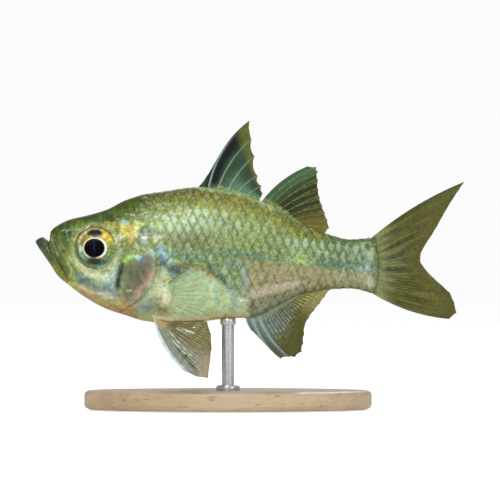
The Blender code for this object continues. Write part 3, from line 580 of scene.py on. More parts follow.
def paint(x, z, marked=True):
    """The markings on the side of the fish, shared by the skin and the scales."""
    middle, half_height, _ = section(x)
    level = (z - middle) / half_height
    above = z - stripe_height(x)
    rear = ramp(-2.5, 1.5, x)
    wander = waves(x, z, 3, 11)
    coat = Coat(np.shape(x), 120, 142, 80)
    coat.lay(0.5 * wander, 136, 152, 92)
    coat.lay(ramp(0.42, 0.72, level) * 0.8, 138, 146, 38)
    coat.lay(ramp(0.74, 0.98, level), 90, 92, 24)
    gold = ramp(0.62, 0.85, level) * ramp(-15.5, -12.5, x) * waves(2.5 * x, z, 1.6, 17)
    coat.lay(gold * (0.65 - 0.4 * ramp(-5, 0, x)), 142, 134, 42)
    coat.lay(spot(x, z, (-9.5, 26.8), (7.5, 2.8), 0.8) * 0.85, 104, 112, 50)
    coat.lay(ramp(8, 13, x) * ramp(0, 0.4, above) * 0.9, 88, 112, 66)
    coat.lay(ramp(5, 9, x) * ramp(0.5, 0.8, level) * 0.5, 92, 102, 20)
    below = ramp(0.2, -0.9, above)
    coat.lay(below * rear, 148, 144, 100)
    coat.lay(below * rear * ramp(0.4, 0.75, wander) * 0.6, 166, 148, 112)
    coat.lay(below * ramp(12, 16, x) * 0.5, 134, 150, 116)
    coat.lay(ramp(-0.55, -0.95, level) * rear, 132, 124, 72)
    stripe = peak(above, 0, 0.26) * ramp(-13.5, -12, x)
    coat.lay(stripe * 0.75, 82, 124, 88)
    glow = ramp(-1, 3, x) * ramp(13, 8, x) * ramp(0.3, 0.7, waves(x, z, 1, 16))
    coat.lay(stripe * glow * 0.8, 196, 220, 134)
    px, pz = drift(x, z, 0.2, 1.6, 61)
    belly = belly_share(px, pz)
    coat.lay(belly, 190, 220, 178)
    coat.lay(belly * ramp(0.45, 0.8, waves(x, 0.4 * z, 1.5, 14)) * 0.55, 216, 232, 198)
    coat.lay(belly * ramp(0.4, 0.75, waves(x, z, 2.2, 15)) * 0.45, 160, 184, 108)
    coat.lay((1 - rear) * ramp(-0.84, -1, level), 208, 194, 130)
    if marked:
        coat.mark(x, z, px, pz, REAR_MARKS + BELLY_MARKS)
    edge = np.interp(z, *HEAD_EDGE)
    head = 1 - ramp(edge - 1.2, edge, px)
    coat.lay(head, paint_head(x, z, level, marked))
    if marked:
        coat.mark(x, z, px, pz, SHOULDER_MARKS)
    return np.clip(richer(coat.colours), 0, 1)


def paint_head(x, z, level, marked):
    """The head's markings: dark above, gold behind the eye, silver, blue and cream on the cheek."""
    wander = waves(x, z, 2, 3)
    px, pz = drift(x, z, 0.16, 1.1, 71)
    coat = Coat(np.shape(x), 146, 162, 92)
    coat.lay(0.6 * wander, 170, 184, 122)
    coat.lay(ramp(-0.1, 0.55, level) * 0.9, 92, 110, 32)
    coat.lay(ramp(0.6, 1, level) * 0.9, 54, 68, 16)
    coat.lay(ramp(-27.6, -30, px) * 0.85, 68, 82, 16)
    cheek = spot(px, pz, (-24, 20.6), (5.2, 3.6), 0.5)
    coat.lay(cheek * 0.85, 176, 202, 160)
    chin = ramp(-0.6, -0.85, level) * ramp(-29, -25.5, x) * (1 - 0.7 * ramp(-20.5, -17.5, x))
    coat.lay(chin * 0.8, 190, 164, 104)
    if not marked:
        return coat.colours
    top = 1 - 0.7 * ramp(0.9, 1, level)
    nape = top * ramp(0.15, 0.6, level) * ramp(0.55, 0.8, waves(x, z, 1.6, 77))
    coat.lay(nape * 0.5, 58, 72, 26)
    moss = top * ramp(0, 0.5, level) * ramp(0.35, 0.7, waves(x, z, 1.9, 79))
    coat.lay(moss * 0.5, 104, 132, 28)
    coat.mark(x, z, px, pz, CHEEK_MARKS + NAPE_MARKS + GILL_COVER_MARKS)
    cover = spot(px, pz, (-18.2, 21.8), (2.6, 3.1), 0.6)
    turn = np.arctan2(x + 19.6, 26.5 - z)
    fan = waves(9 * turn, 0.25 * np.hypot(x + 19.6, 26.5 - z), 0.9, 78)
    coat.lay(cover * 0.7 * ramp(0.52, 0.75, fan), 80, 85, 66)
    coat.lay(cover * 0.2 * ramp(0.42, 0.2, fan), 142, 140, 116)
    coat.lay(ramp(-0.93, -1, level) * ramp(-30, -27, x) * 0.7, 150, 108, 56)
    down = (z - EYE_Z) / EYE_TALL
    ring = np.hypot(x - EYE_X, down)
    ring_light = 0.45 + 0.35 * ramp(0.5, -1.5, down)
    coat.lay(peak(ring, 3.7, 0.3) * ring_light, 208, 206, 150)
    rim = peak(ring, 3.27, 0.13)
    coat.lay(rim * (0.3 + 0.3 * ramp(1.2, 2.6, np.abs(down))), 134, 108, 56)
    paint_jaws(coat, px, pz, x, z)
    return coat.colours


def paint_jaws(coat, px, pz, x, z):
    """The jaws' marks, painted shade along the gape and in the nostril pits, laid over the head."""
    distance, share, side = from_line(x, z, GAPE)
    lower = ramp(-0.05, 0.1, -distance * side) * ramp(-28.2, -28.9, x + 0.35 * (z - 20.2))
    coat.lay(lower, 92, 98, 26)
    coat.mark(x, z, px, pz, JAW_MARKS)
    coat.lay(peak(from_line(x, z, UPPER_JAW_BACK)[0], 0, 0.12) * 0.2, 70, 76, 34)
    # Painted shade in the line of the closed mouth.
    gape_shade = peak(distance, 0, 0.1) * ramp(0.95, 0.75, share)
    gape_shade = gape_shade * (0.5 + 0.5 * ramp(0.1, 0.3, share))
    coat.lay(gape_shade * 0.7, 58, 60, 20)
    # Painted shade in the nostril pits.
    for nostril_x, nostril_z, radius in NOSTRILS:
        around = np.hypot(x - nostril_x, z - nostril_z) / radius
        coat.lay((1 - ramp(0.5, 1.2, around)) * 0.7, 50, 62, 40)


# Meshes from arrays

def tidy_select():
    if bpy.context.mode != "OBJECT":
        bpy.ops.object.mode_set(mode="OBJECT")
    bpy.ops.object.select_all(action="DESELECT")


def set_values(mesh, tints, values):
    """Gives each point of a mesh its named colours and values."""
    for key, data in tints.items():
        rgba = np.ones((len(mesh.vertices), 4), np.float32)
        rgba[:, :3] = np.reshape(data, (-1, 3))
        mesh.color_attributes.new(key, "FLOAT_COLOR", "POINT").data.foreach_set("color", rgba.ravel())
    for key, data in values.items():
        layer = mesh.attributes.new(key, "FLOAT", "POINT")
        layer.data.foreach_set("value", np.asarray(data, np.float32).ravel())


def build_mesh(name, points, quads, tints, values, uvs):
    """An object from points in millimetres and quads, with its colours, values and OFBake map."""
    corners = points[quads[:, :4]]
    volume = np.einsum("ij,ij->i", corners[:, 0], np.cross(corners[:, 1], corners[:, 2])).sum()
    volume += np.einsum("ij,ij->i", corners[:, 0], np.cross(corners[:, 2], corners[:, 3])).sum()
    if volume < 0:
        quads = quads[:, ::-1]
        uvs = uvs[:, ::-1]
    mesh = bpy.data.meshes.new(name)
    mesh.vertices.add(len(points))
    mesh.vertices.foreach_set("co", (points * MM).astype(np.float32).ravel())
    mesh.loops.add(quads.size)
    mesh.loops.foreach_set("vertex_index", np.ascontiguousarray(quads, np.int32).ravel())
    mesh.polygons.add(len(quads))
    mesh.polygons.foreach_set("loop_start", np.arange(0, quads.size, 4, dtype=np.int32))
    mesh.update(calc_edges=True)
    set_values(mesh, tints, values)
    layer = mesh.uv_layers.new(name="OFBake")
    layer.data.foreach_set("uv", np.ascontiguousarray(uvs, np.float32).ravel())
    built = bpy.data.objects.new(name, mesh)
    bpy.context.scene.collection.objects.link(built)
    tidy_select()
    bpy.context.view_layer.objects.active = built
    built.select_set(True)
    bpy.ops.object.shade_smooth()
    built.select_set(False)
    return built


def sheet_pattern(columns, rows):
    """Quads of a closed sheet of two grids, and the map places of their corners."""
    grid = np.arange(columns * rows).reshape(columns, rows)
    corners = (grid[:-1, :-1], grid[1:, :-1], grid[1:, 1:], grid[:-1, 1:])
    front = np.stack(corners, axis=-1).reshape(-1, 4)
    u, v = np.meshgrid(np.linspace(0.01, 0.99, columns), np.linspace(0.01, 0.47, rows), indexing="ij")
    spread = np.stack([u, v], axis=-1).reshape(-1, 2)
    front_map = spread[front]
    rim = np.concatenate([grid[:, 0], grid[-1, 1:], grid[-2::-1, -1], grid[0, -2:0:-1]])
    after = np.roll(rim, -1)
    second = columns * rows
    rim_quads = np.stack([rim, rim + second, after + second, after], axis=-1)
    start = np.linspace(0.01, 0.99, len(rim) + 1)
    rim_map = np.zeros((len(rim), 4, 2))
    rim_map[:, :2, 0] = start[:-1, None]
    rim_map[:, 2:, 0] = start[1:, None]
    rim_map[..., 1] = (0.97, 0.99, 0.99, 0.97)
    back_map = front_map[:, ::-1] + (0, 0.48)
    quads = np.concatenate([front, front[:, ::-1] + second, rim_quads])
    return quads, np.concatenate([front_map, back_map, rim_map])


def finish_piece(piece, material, slot, *nodes):
    """Dresses a piece, and tells the frame what it rides on and stands for."""
    if not piece.data.polygons:
        raise RuntimeError(f"{piece.name} has no faces")
    piece.data.materials.clear()
    piece.data.materials.append(material)
    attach(piece, ROOT)
    if nodes:
        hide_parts(*nodes)


# Shader groups and materials

def node_group(name, inputs, outputs):
    """A new shader group with named sockets: the group, what it is given, and its end."""
    group = bpy.data.node_groups.new(name, "ShaderNodeTree")
    for label, kind, default in inputs:
        socket = group.interface.new_socket(label, in_out="INPUT", socket_type="NodeSocket" + kind)
        if default is not None:
            socket.default_value = default
    for label, kind in outputs:
        group.interface.new_socket(label, in_out="OUTPUT", socket_type="NodeSocket" + kind)
    return group, group.nodes.new("NodeGroupInput").outputs, group.nodes.new("NodeGroupOutput")


def fill(node, inputs):
    """Gives a node's inputs their values, colours or links."""
    for label, value in inputs.items():
        socket = node.inputs[label]
        if isinstance(value, bpy.types.NodeSocket):
            node.id_data.links.new(value, socket)
        elif socket.type == "RGBA":
            socket.default_value = (*value, 1)
        else:
            socket.default_value = value


def add_node(tree, kind, inputs, **choices):
    """A new shader node with its choices made and its inputs filled."""
    node = tree.nodes.new("ShaderNode" + kind)
    for name, value in choices.items():
        setattr(node, name, value)
    fill(node, inputs)
    return node


def noise(tree, vector, scale, detail=3, roughness=0.5):
    inputs = {"Vector": vector, "Scale": scale, "Detail": detail, "Roughness": roughness}
    return add_node(tree, "TexNoise", inputs).outputs["Fac"]


def maths(tree, operation, *values, clamp=False):
    return add_node(tree, "Math", dict(enumerate(values)), operation=operation, use_clamp=clamp).outputs[0]


def times(tree, *values, clamp=False):
    return maths(tree, "MULTIPLY", *values, clamp=clamp)


def remap(tree, *values):
    """A value brought from one range to another."""
    labels = ("Value", "From Min", "From Max", "To Min", "To Max")
    return add_node(tree, "MapRange", dict(zip(labels, values))).outputs["Result"]


def mixed(tree, factor, first, second, blend="MIX"):
    inputs = {0: factor, 6: first, 7: second}
    return add_node(tree, "Mix", inputs, data_type="RGBA", blend_type=blend).outputs[2]


def skin_grain_group():
    """Mottling, flecks of silver and gold, pigment dots and an uneven shine, for all that lives."""
    group, given, end = node_group(
        "skin_grain",
        (("Tint", "Color", None), ("Vector", "Vector", None), ("Mottle Size", "Float", 900),
         ("Mottle", "Float", 0.3), ("Flecks", "Float", 0.3), ("Dots", "Float", 0.3),
         ("Shine", "Float", 0.35)),
        (("Color", "Color"), ("Roughness", "Float"), ("Height", "Float")))
    vector = given["Vector"]
    coarse = noise(group, vector, given["Mottle Size"], 5, 0.65)
    fine = noise(group, vector, 6000, 2)
    lighter = remap(group, coarse, 0.3, 0.7, 0.55, 1.5)
    change = mixed(group, given["Mottle"], (1, 1, 1), lighter)
    tint = mixed(group, 1, given["Tint"], change, "MULTIPLY")
    patches = noise(group, vector, 1900, 6, 0.8)
    hue = noise(group, vector, 900, 3, 0.6)
    pale = mixed(group, remap(group, hue, 0.38, 0.62, 0, 1), (0.74, 0.74, 0.42), (0.58, 0.82, 0.74))
    bright = remap(group, patches, 0.51, 0.62, 0, 0.85)
    tint = mixed(group, times(group, bright, given["Flecks"], clamp=True), tint, pale)
    shade = remap(group, patches, 0.48, 0.38, 0, 0.8)
    tint = mixed(group, times(group, shade, given["Flecks"], clamp=True), tint, (0.09, 0.12, 0.05))
    cells = add_node(group, "TexVoronoi", {"Scale": 4600, "Vector": vector})
    dot = remap(group, cells.outputs["Distance"], 0.16, 0.34, 1, 0)
    tint = mixed(group, times(group, dot, given["Dots"], clamp=True), tint, (0.03, 0.035, 0.015))
    shine = maths(group, "MULTIPLY_ADD", fine, 0.2, given["Shine"])
    fill(end, {"Color": tint, "Roughness": shine, "Height": maths(group, "ADD", fine, coarse)})


def scale_marks_group():
    """One scale's pattern: a dark rim, painted shade where the scale ahead lies over it, a pale spot in
    the middle and a painted highlight below.
    """
    group, given, end = node_group(
        "scale_marks",
        (("Tint", "Color", None), ("Pale Tint", "Color", None), ("Vector", "Vector", None),
         ("Along", "Float", 0.5), ("Across", "Float", 0), ("Rim", "Float", 0.8), ("Pale", "Float", 0.6),
         ("Sheen", "Float", 0.5), ("Middle Size", "Float", 1)),
        (("Color", "Color"), ("Middle", "Float")))
    vector = given["Vector"]
    wobble = maths(group, "MULTIPLY_ADD", noise(group, vector, 1900, 3), 0.34, -0.17)
    along = maths(group, "ADD", given["Along"], wobble)
    across = maths(group, "SUBTRACT", given["Across"], wobble)
    off_middle = maths(group, "ABSOLUTE", given["Across"])
    bow = times(group, maths(group, "POWER", off_middle, 1.35), 0.5)
    edge = maths(group, "SUBTRACT", given["Along"], bow)
    rim = remap(group, edge, 0.02, 0.13, 1, 0)
    # The rim is the scale's own dark edge; the front band is painted shade, where the free edge of the
    # scale ahead lies over this one.
    front = remap(group, maths(group, "ADD", edge, times(group, bow, 2)), 0.86, 1, 0, 0.6)
    broken = remap(group, noise(group, vector, 700, 3), 0.35, 0.6, 0.35, 1.3)
    # The Rim strength darkens both the rim and the painted shade in front.
    dark = times(group, maths(group, "MAXIMUM", rim, front), given["Rim"])
    dark = times(group, dark, broken, clamp=True)
    shade = mixed(group, 1, given["Tint"], (0.36, 0.37, 0.26), "MULTIPLY")
    colour = mixed(group, dark, given["Tint"], shade)
    reach = maths(group, "DIVIDE", maths(group, "SUBTRACT", along, 0.55), 0.3)
    width = maths(group, "DIVIDE", across, 0.58)
    squares = maths(group, "ADD", times(group, reach, reach), times(group, width, width))
    far = maths(group, "DIVIDE", maths(group, "SQRT", squares), given["Middle Size"])
    middle = remap(group, far, 0.45, 1.15, 1, 0)
    colour = mixed(group, times(group, middle, given["Pale"]), colour, given["Pale Tint"])
    # A painted highlight along the lower part of the free edge, as strong as the Sheen.
    off_edge = maths(group, "ABSOLUTE", maths(group, "SUBTRACT", edge, 0.17))
    line = remap(group, off_edge, 0.02, 0.075, 1, 0)
    low = remap(group, maths(group, "ABSOLUTE", maths(group, "ADD", across, 0.42)), 0.2, 0.36, 1, 0)
    highlight_stroke = times(group, times(group, line, low), given["Sheen"], clamp=True)
    fill(end, {"Color": mixed(group, highlight_stroke, colour, (0.6, 0.68, 0.34)), "Middle": middle})


def new_material(name):
    material = bpy.data.materials.new(name)
    material.use_nodes = True
    tree = material.node_tree
    return material, tree, tree.nodes["Principled BSDF"]


def object_vector(tree):
    return tree.nodes.new("ShaderNodeTexCoord").outputs["Object"]


def stretched_vector(tree, scale):
    """Object coordinates with one scale for each axis."""
    return add_node(tree, "Mapping", {"Vector": object_vector(tree), "Scale": scale}).outputs["Vector"]


def attribute(tree, name, output="Color"):
    return add_node(tree, "Attribute", {}, attribute_name=name).outputs[output]


def add_bump(tree, shader, height, distance, strength):
    bump = add_node(tree, "Bump", {"Height": height, "Distance": distance, "Strength": strength})
    fill(shader, {"Normal": bump.outputs["Normal"]})


def skin_colour(tree, vector):
    """Painted markings that break up into flecks, with the darker ground between them."""
    patches = noise(tree, vector, 1500, 6, 0.8)
    share = remap(tree, patches, 0.38, 0.52, 0.3, 1)
    return mixed(tree, share, attribute(tree, "under_tint"), attribute(tree, "tint"))


def plain_colour(tree, _):
    return attribute(tree, "tint")


def scale_colour(tree, vector):
    """The colour of a scale, from its own tints and its own places along and across."""
    inputs = {"Vector": vector, "Tint": attribute(tree, "tint"), "Pale Tint": attribute(tree, "pale_tint")}
    for label in ("Along", "Across", "Rim", "Pale", "Sheen", "Middle Size"):
        inputs[label] = attribute(tree, label.lower().replace(" ", "_"), "Fac")
    return add_node(tree, "Group", inputs, node_tree=bpy.data.node_groups["scale_marks"]).outputs["Color"]


def living_material(name, mottle_size, mottle, dots, shine, flecks=0, metallic=None, alpha=None, coat=0.3,
                    bump=0.25, specular=0.3, colour=plain_colour):
    """A wet living surface: painted tint, mottling, flecks and dots, under a thin slime coat."""
    material, tree, shader = new_material(name)
    vector = object_vector(tree)
    inputs = {"Tint": colour(tree, vector), "Vector": vector, "Mottle Size": mottle_size, "Mottle": mottle,
              "Dots": dots, "Shine": shine, "Flecks": flecks}
    if isinstance(flecks, str):
        inputs["Flecks"] = attribute(tree, flecks, "Fac")
    grain = add_node(tree, "Group", inputs, node_tree=bpy.data.node_groups["skin_grain"])
    for label, source in (("Metallic", metallic), ("Alpha", alpha)):
        if source:
            fill(shader, {label: attribute(tree, source, "Fac")})
    fill(shader, {"Base Color": grain.outputs["Color"], "Roughness": grain.outputs["Roughness"],
                  "Specular IOR Level": specular, "Coat Weight": coat, "Coat Roughness": 0.15,
                  "Coat IOR": WATER_IOR})
    add_bump(tree, shader, grain.outputs["Height"], SKIN_BUMP * MM, bump)
    return material


# Sizes and colours that a user would change

class GlassfishSettings(bpy.types.PropertyGroup):
    scale_pitch: FloatProperty(name="Scale pitch", description="Length of each scale that shows",
                               default=1.45 * MM, min=0.5 * MM, unit="LENGTH")
    row_pitch: FloatProperty(name="Row pitch", description="Distance between rows of scales",
                             default=1.5 * MM, min=0.5 * MM, unit="LENGTH")
    scale_lift: FloatProperty(name="Scale lift", description="How far a free edge stands off the skin",
                              default=0.1 * MM, min=0, unit="LENGTH")
    coat_depth: FloatProperty(name="Coat depth", description="How deep the skin lies under the scales",
                              default=0.1 * MM, min=0, unit="LENGTH")
    skin_rings: IntProperty(name="Skin rings", description="Points round the body", default=224, min=32)
    wood_light: FloatVectorProperty(name="Wood, light", description="The base's pale wood",
                                    subtype="COLOR", default=(0.62, 0.47, 0.31), min=0, max=1)
    wood_dark: FloatVectorProperty(name="Wood, dark", description="The base's darker grain",
                                   subtype="COLOR", default=(0.46, 0.31, 0.18), min=0, max=1)
    steel: FloatVectorProperty(name="Steel", description="The rod's colour", subtype="COLOR",
                               default=(0.62, 0.62, 0.62), min=0, max=1)
    floor: FloatVectorProperty(name="Floor", description="The floor's and backdrop's colour",
                               subtype="COLOR", default=(0.93, 0.93, 0.93), min=0, max=1)
    camera_distance: FloatProperty(name="Camera distance", description="From the fish's middle plane",
                                   default=0.7, min=0.2, unit="LENGTH")


def settings():
    return bpy.context.scene.glassfish


# The skin

def skin_relief(x, z):
    """How far the skin stands out or in at places on the side, in millimetres."""
    out = np.zeros(np.shape(x))
    width = flank(x, z)
    gape, along, side = from_line(x, z, GAPE)
    opening = 0.12 - 0.05 * along
    slot = np.exp(-(gape / opening) ** 4) * ramp(1, 0.75, along)
    back = from_line(x, z, UPPER_JAW_BACK)[0]
    jaw_strip = (side > 0) & (gape < 1.9) & (x < -27.8)
    out += 0.14 * peak(gape, 0.45, 0.35)
    out -= 0.2 * peak(back, 0, 0.13)
    out += np.where(jaw_strip, 0.06, 0) * ramp(0, 0.3, back)
    out -= 0.14 * peak(from_line(x, z, LOWER_JAW_FOLD, 12)[0], 0, 0.16)
    around_eye = np.hypot(x - EYE_X, (z - EYE_Z) / EYE_TALL)
    out += 0.12 * peak(around_eye, 3.5, 0.32)
    out -= 0.07 * peak(around_eye, 4.2, 0.25) * ramp(27.5, 24.5, z)
    out -= 1.3 * (1 - ramp(2.85, 3.1, around_eye))
    for nostril_x, nostril_z, radius in NOSTRILS:
        around = np.hypot(x - nostril_x, z - nostril_z) / radius
        out -= 0.4 * np.exp(-around ** 4)
        out += 0.08 * peak(around, 1.7, 0.5)
    slit = from_line(x, z, PREOPERCLE, 20)[0]
    out -= 0.26 * peak(slit, 0, 0.17)
    out += 0.08 * peak(slit, 0.4, 0.25)
    out -= 0.08 * peak(from_line(x, z, PREOPERCLE_RIDGE, 20)[0], 0, 0.22)
    edge, place, beside = from_line(x, z, GILL_SLIT)
    fade = ramp(0, 0.12, place) * ramp(1, 0.8, place)
    inside = beside < 0
    swell = 0.2 * ramp(3.2, 0, edge) * fade
    out += np.where(inside, swell, 0)
    out -= np.where(inside, 0, 0.18 * peak(edge, 0, 0.3) * fade)
    out += 0.34 * spot(x, z, (-13.5, 18.3), (1.35, 1.75), 0.9)
    out += 0.06 * peak(from_line(x, z, LOWER_LIP_LINE, 12)[0], 0, 0.12)
    out += 0.02 * (waves(x, z, 0.9, 91) - 0.5) + 0.03 * (waves(x, z, 2.2, 92) - 0.5)
    for step in THROAT_STEPS:
        out -= 0.05 * peak(from_line(x, z, np.array(THROAT_FOLD) + (0, step), 16)[0], 0, 0.12)
    depth = width * (0.22 - 0.15 * ramp(0.2, 0.45, along))
    return np.where(slot > 0.02, out * (1 - slot) - depth * slot, out)


def skin_shine(x, z, level):
    """How silvery the skin is, and how strongly it breaks up into flecks."""
    silver = 0.08 + 0.2 * ramp(0.3, 0.7, waves(x, z, 1.6, 21))
    silver *= 1 - ramp(0.7, 0.95, np.abs(level))
    flecks = 0.25 + 0.6 * ramp(0.3, 0.7, waves(x, z, 2.4, 23))
    flecks *= (1 - 0.6 * ramp(-27.5, -29.5, x)) * (1 - 0.8 * ramp(0.7, 0.9, np.abs(level)))
    flecks *= 1 - 0.8 * spot(x, z, (-20.3, 28.9), (2.8, 1.7), 0.6)
    flecks *= 1 - 0.6 * spot(x, z, (-15.5, 33.2), (4, 2), 0.6)
    flecks *= 1 - 0.75 * belly_share(x, z)
    flecks *= 1 - 0.85 * spot(x, z, (-18, 20.6), (3.6, 4.6), 0.5)
    flecks += 0.6 * spot(x, z, (-24, 21.3), (3.8, 1.8), 0.8)
    return silver, flecks


def skin_faces(count, around):
    """Points by ring, the quads between the rings, and the map places of their corners."""
    grid = np.arange(count * around).reshape(count, around)
    after = np.roll(grid, -1, axis=1)
    quads = np.stack([grid[:-1], after[:-1], after[1:], grid[1:]], axis=-1).reshape(-1, 4)
    u = np.linspace(0.01, 0.93, count)
    v = np.linspace(0.01, 0.99, around + 1)
    uvs = np.zeros((count - 1, around, 4, 2))
    for corner, (end_u, end_v) in enumerate(((0, 0), (0, 1), (1, 1), (1, 0))):
        uvs[..., corner, 0] = u[end_u:count - 1 + end_u, None]
        uvs[..., corner, 1] = v[end_v:around + end_v]
    return grid, quads, uvs.reshape(-1, 4, 2)


class GLASSFISH_OT_skin(bpy.types.Operator):
    """Make one skin over the head, jaws, gill covers, trunk and tail base"""
    bl_idname = "glassfish.skin"
    bl_label = "Skin"

    def execute(self, context):
        head = np.concatenate([BODY_X[0] + np.array([0, 0.02, 0.05]),
                               np.arange(BODY_X[0] + HEAD_STEP, HEAD_REAR, HEAD_STEP)])
        stations = np.concatenate([head, np.arange(HEAD_REAR, BODY_END, BODY_STEP), [BODY_END]])
        around = settings().skin_rings
        angles = 2 * math.pi * (np.arange(around) + 0.5) / around
        x = np.repeat(stations[:, None], around, axis=1)
        middle, half_height, half_width = section(stations)
        power = section_power(stations)[:, None]
        sine = np.sin(angles)[None]
        depth = settings().coat_depth / MM * ramp(-16, -14.5, stations)[:, None]
        y = (half_width[:, None] - depth) * np.sign(sine) * np.abs(sine) ** power
        z = middle[:, None] + (half_height[:, None] - depth) * np.cos(angles)[None]
        relief = skin_relief(x, z)
        reach = np.maximum(np.abs(y) + relief * np.minimum(np.abs(y) / 0.4, 1), 0.02)
        points = np.stack([tail_place(x, z), np.sign(y) * reach * tail_taper(x), z], axis=-1)
        tints = paint(x, z)
        under = paint(x, z, marked=False) * (0.52, 0.58, 0.46)
        level = (z - middle[:, None]) / half_height[:, None]
        silver, flecks = skin_shine(x, z, level)
        grid, quads, uvs = skin_faces(len(stations), around)
        ends, end_uvs, extra = self.close_ends(grid, points)
        points = np.concatenate([points.reshape(-1, 3), extra])
        tints, under, silver, flecks = (
            np.concatenate([one.reshape(-1, *one.shape[2:]), one[0, :1], one[-1, :1]])
            for one in (tints, under, silver, flecks))
        quads = np.concatenate([quads, ends])
        uvs = np.concatenate([uvs, end_uvs])
        skin = build_mesh("skin", points, quads, {"tint": tints, "under_tint": under},
                          {"silver": silver, "flecks": flecks}, uvs)
        material = living_material("skin", 1300, 0.6, 0.34, 0.32, flecks="flecks", metallic="silver",
                                   bump=0.35, colour=skin_colour)
        finish_piece(skin, material, "head", "head", "jaw_lower", "jaw_upper", "operculum_left",
                     "operculum_right", "torso", "tail_peduncle")
        return {"FINISHED"}

    @staticmethod
    def close_ends(grid, points):
        """Quads that close both ends onto a middle point, two rim edges each."""
        first = grid.size
        quads = []
        uvs = []
        for which, ring in enumerate((grid[0], grid[-1])):
            middle = first + which
            for j in range(0, len(ring), 2):
                a, b, c = ring[j], ring[(j + 1) % len(ring)], ring[(j + 2) % len(ring)]
                quads.append((middle, c, b, a) if which == 0 else (middle, a, b, c))
                turn = [2 * math.pi * (j + k) / len(ring) for k in range(3)]
                centre = np.array((0.965, 0.25 + 0.5 * which))
                spots = [centre + 0.03 * np.array((math.cos(t), math.sin(t))) for t in turn]
                uvs.append([centre, *spots[::-1]] if which == 0 else [centre, *spots])
        extra = np.array([points[0].mean(axis=0), points[-1].mean(axis=0)])
        return np.array(quads), np.array(uvs), extra


# The scales

def side_table(stations, depth):
    """Half sections of the body: arc length up from the row line, and the y and z there."""
    angles = np.linspace(0, math.pi, 181)
    middle, half_height, half_width = section(stations)
    power = section_power(stations)[:, None]
    y = (half_width[:, None] - depth) * np.sin(angles)[None] ** power
    z = middle[:, None] + (half_height[:, None] - depth) * np.cos(angles)[None]
    steps = np.hypot(np.diff(y, axis=1), np.diff(z, axis=1))
    arc = np.concatenate([np.zeros((len(stations), 1)), np.cumsum(steps, axis=1)], axis=1)
    line = row_height(stations)
    base = np.array([np.interp(-line[i], -z[i], arc[i]) for i in range(len(stations))])
    return base[:, None] - arc, y, z


class SideMap:
    """Turns a place along the body and an arc up from the row line into a point and a normal."""

    def __init__(self, depth):
        self.stations = np.arange(-30, 20.6, SIDE_STEP)
        arc, y, z = side_table(self.stations, depth)
        self.up = arc[:, 0]
        self.down = arc[:, -1]
        shares = np.linspace(0, 1, SIDE_POINTS)
        self.y = np.zeros((len(self.stations), SIDE_POINTS))
        self.z = np.zeros((len(self.stations), SIDE_POINTS))
        for i in range(len(self.stations)):
            wanted = self.down[i] + shares * (self.up[i] - self.down[i])
            self.y[i] = np.interp(wanted, arc[i, ::-1], y[i, ::-1])
            self.z[i] = np.interp(wanted, arc[i, ::-1], z[i, ::-1])

    def limits(self, x):
        return np.interp(x, self.stations, self.down), np.interp(x, self.stations, self.up)

    def place(self, x, arc):
        low, high = self.limits(x)
        share = np.clip((arc - low) / (high - low), 0, 1) * (SIDE_POINTS - 1)
        i = np.clip((x - self.stations[0]) / SIDE_STEP, 0, len(self.stations) - 1.001)
        i0 = i.astype(int)
        j0 = np.minimum(share.astype(int), SIDE_POINTS - 2)
        a, b = i - i0, share - j0
        found = []
        for table in (self.y, self.z):
            low_row = table[i0, j0] * (1 - b) + table[i0, j0 + 1] * b
            high_row = table[i0 + 1, j0] * (1 - b) + table[i0 + 1, j0 + 1] * b
            found.append(low_row * (1 - a) + high_row * a)
        y, z = found
        return np.stack([tail_place(x, z), y * tail_taper(x), z], axis=-1)

    def normal(self, x, arc):
        along = self.place(x + 0.15, arc) - self.place(x - 0.15, arc)
        across = self.place(x, arc + 0.15) - self.place(x, arc - 0.15)
        normal = np.cross(along, across)
        normal *= np.where(normal[..., 1:2] < 0, -1, 1)
        return normal / np.maximum(np.linalg.norm(normal, axis=-1, keepdims=True), 1e-9)


def scale_roots():
    """Where each scale lies: the middle of the part that shows, arc, row, column and size."""
    pitch = settings().scale_pitch / MM
    row_pitch = settings().row_pitch / MM
    side = SideMap(0)
    roots = []
    for row in range(*ROW_NUMBERS):
        x = FIRST_SCALE_X + (pitch / 2 if row % 2 else 0)
        column = 0
        while x < LAST_SCALE_X:
            size = 1 - 0.1 * float(ramp(0, 16, x))
            arc = row * row_pitch
            low, high = side.limits(x)
            here = side.place(np.array(x), np.array(arc))
            if low + 0.2 < arc < high + 0.35 and behind_gill(here[0], here[2]):
                roots.append((x, arc, row, column, size))
            x += pitch * size
            column += 1
    return roots, side


def behind_gill(x, z):
    """Whether a scale here shows behind the head."""
    return x > np.interp(z, *FIRST_SCALES) + 0.2


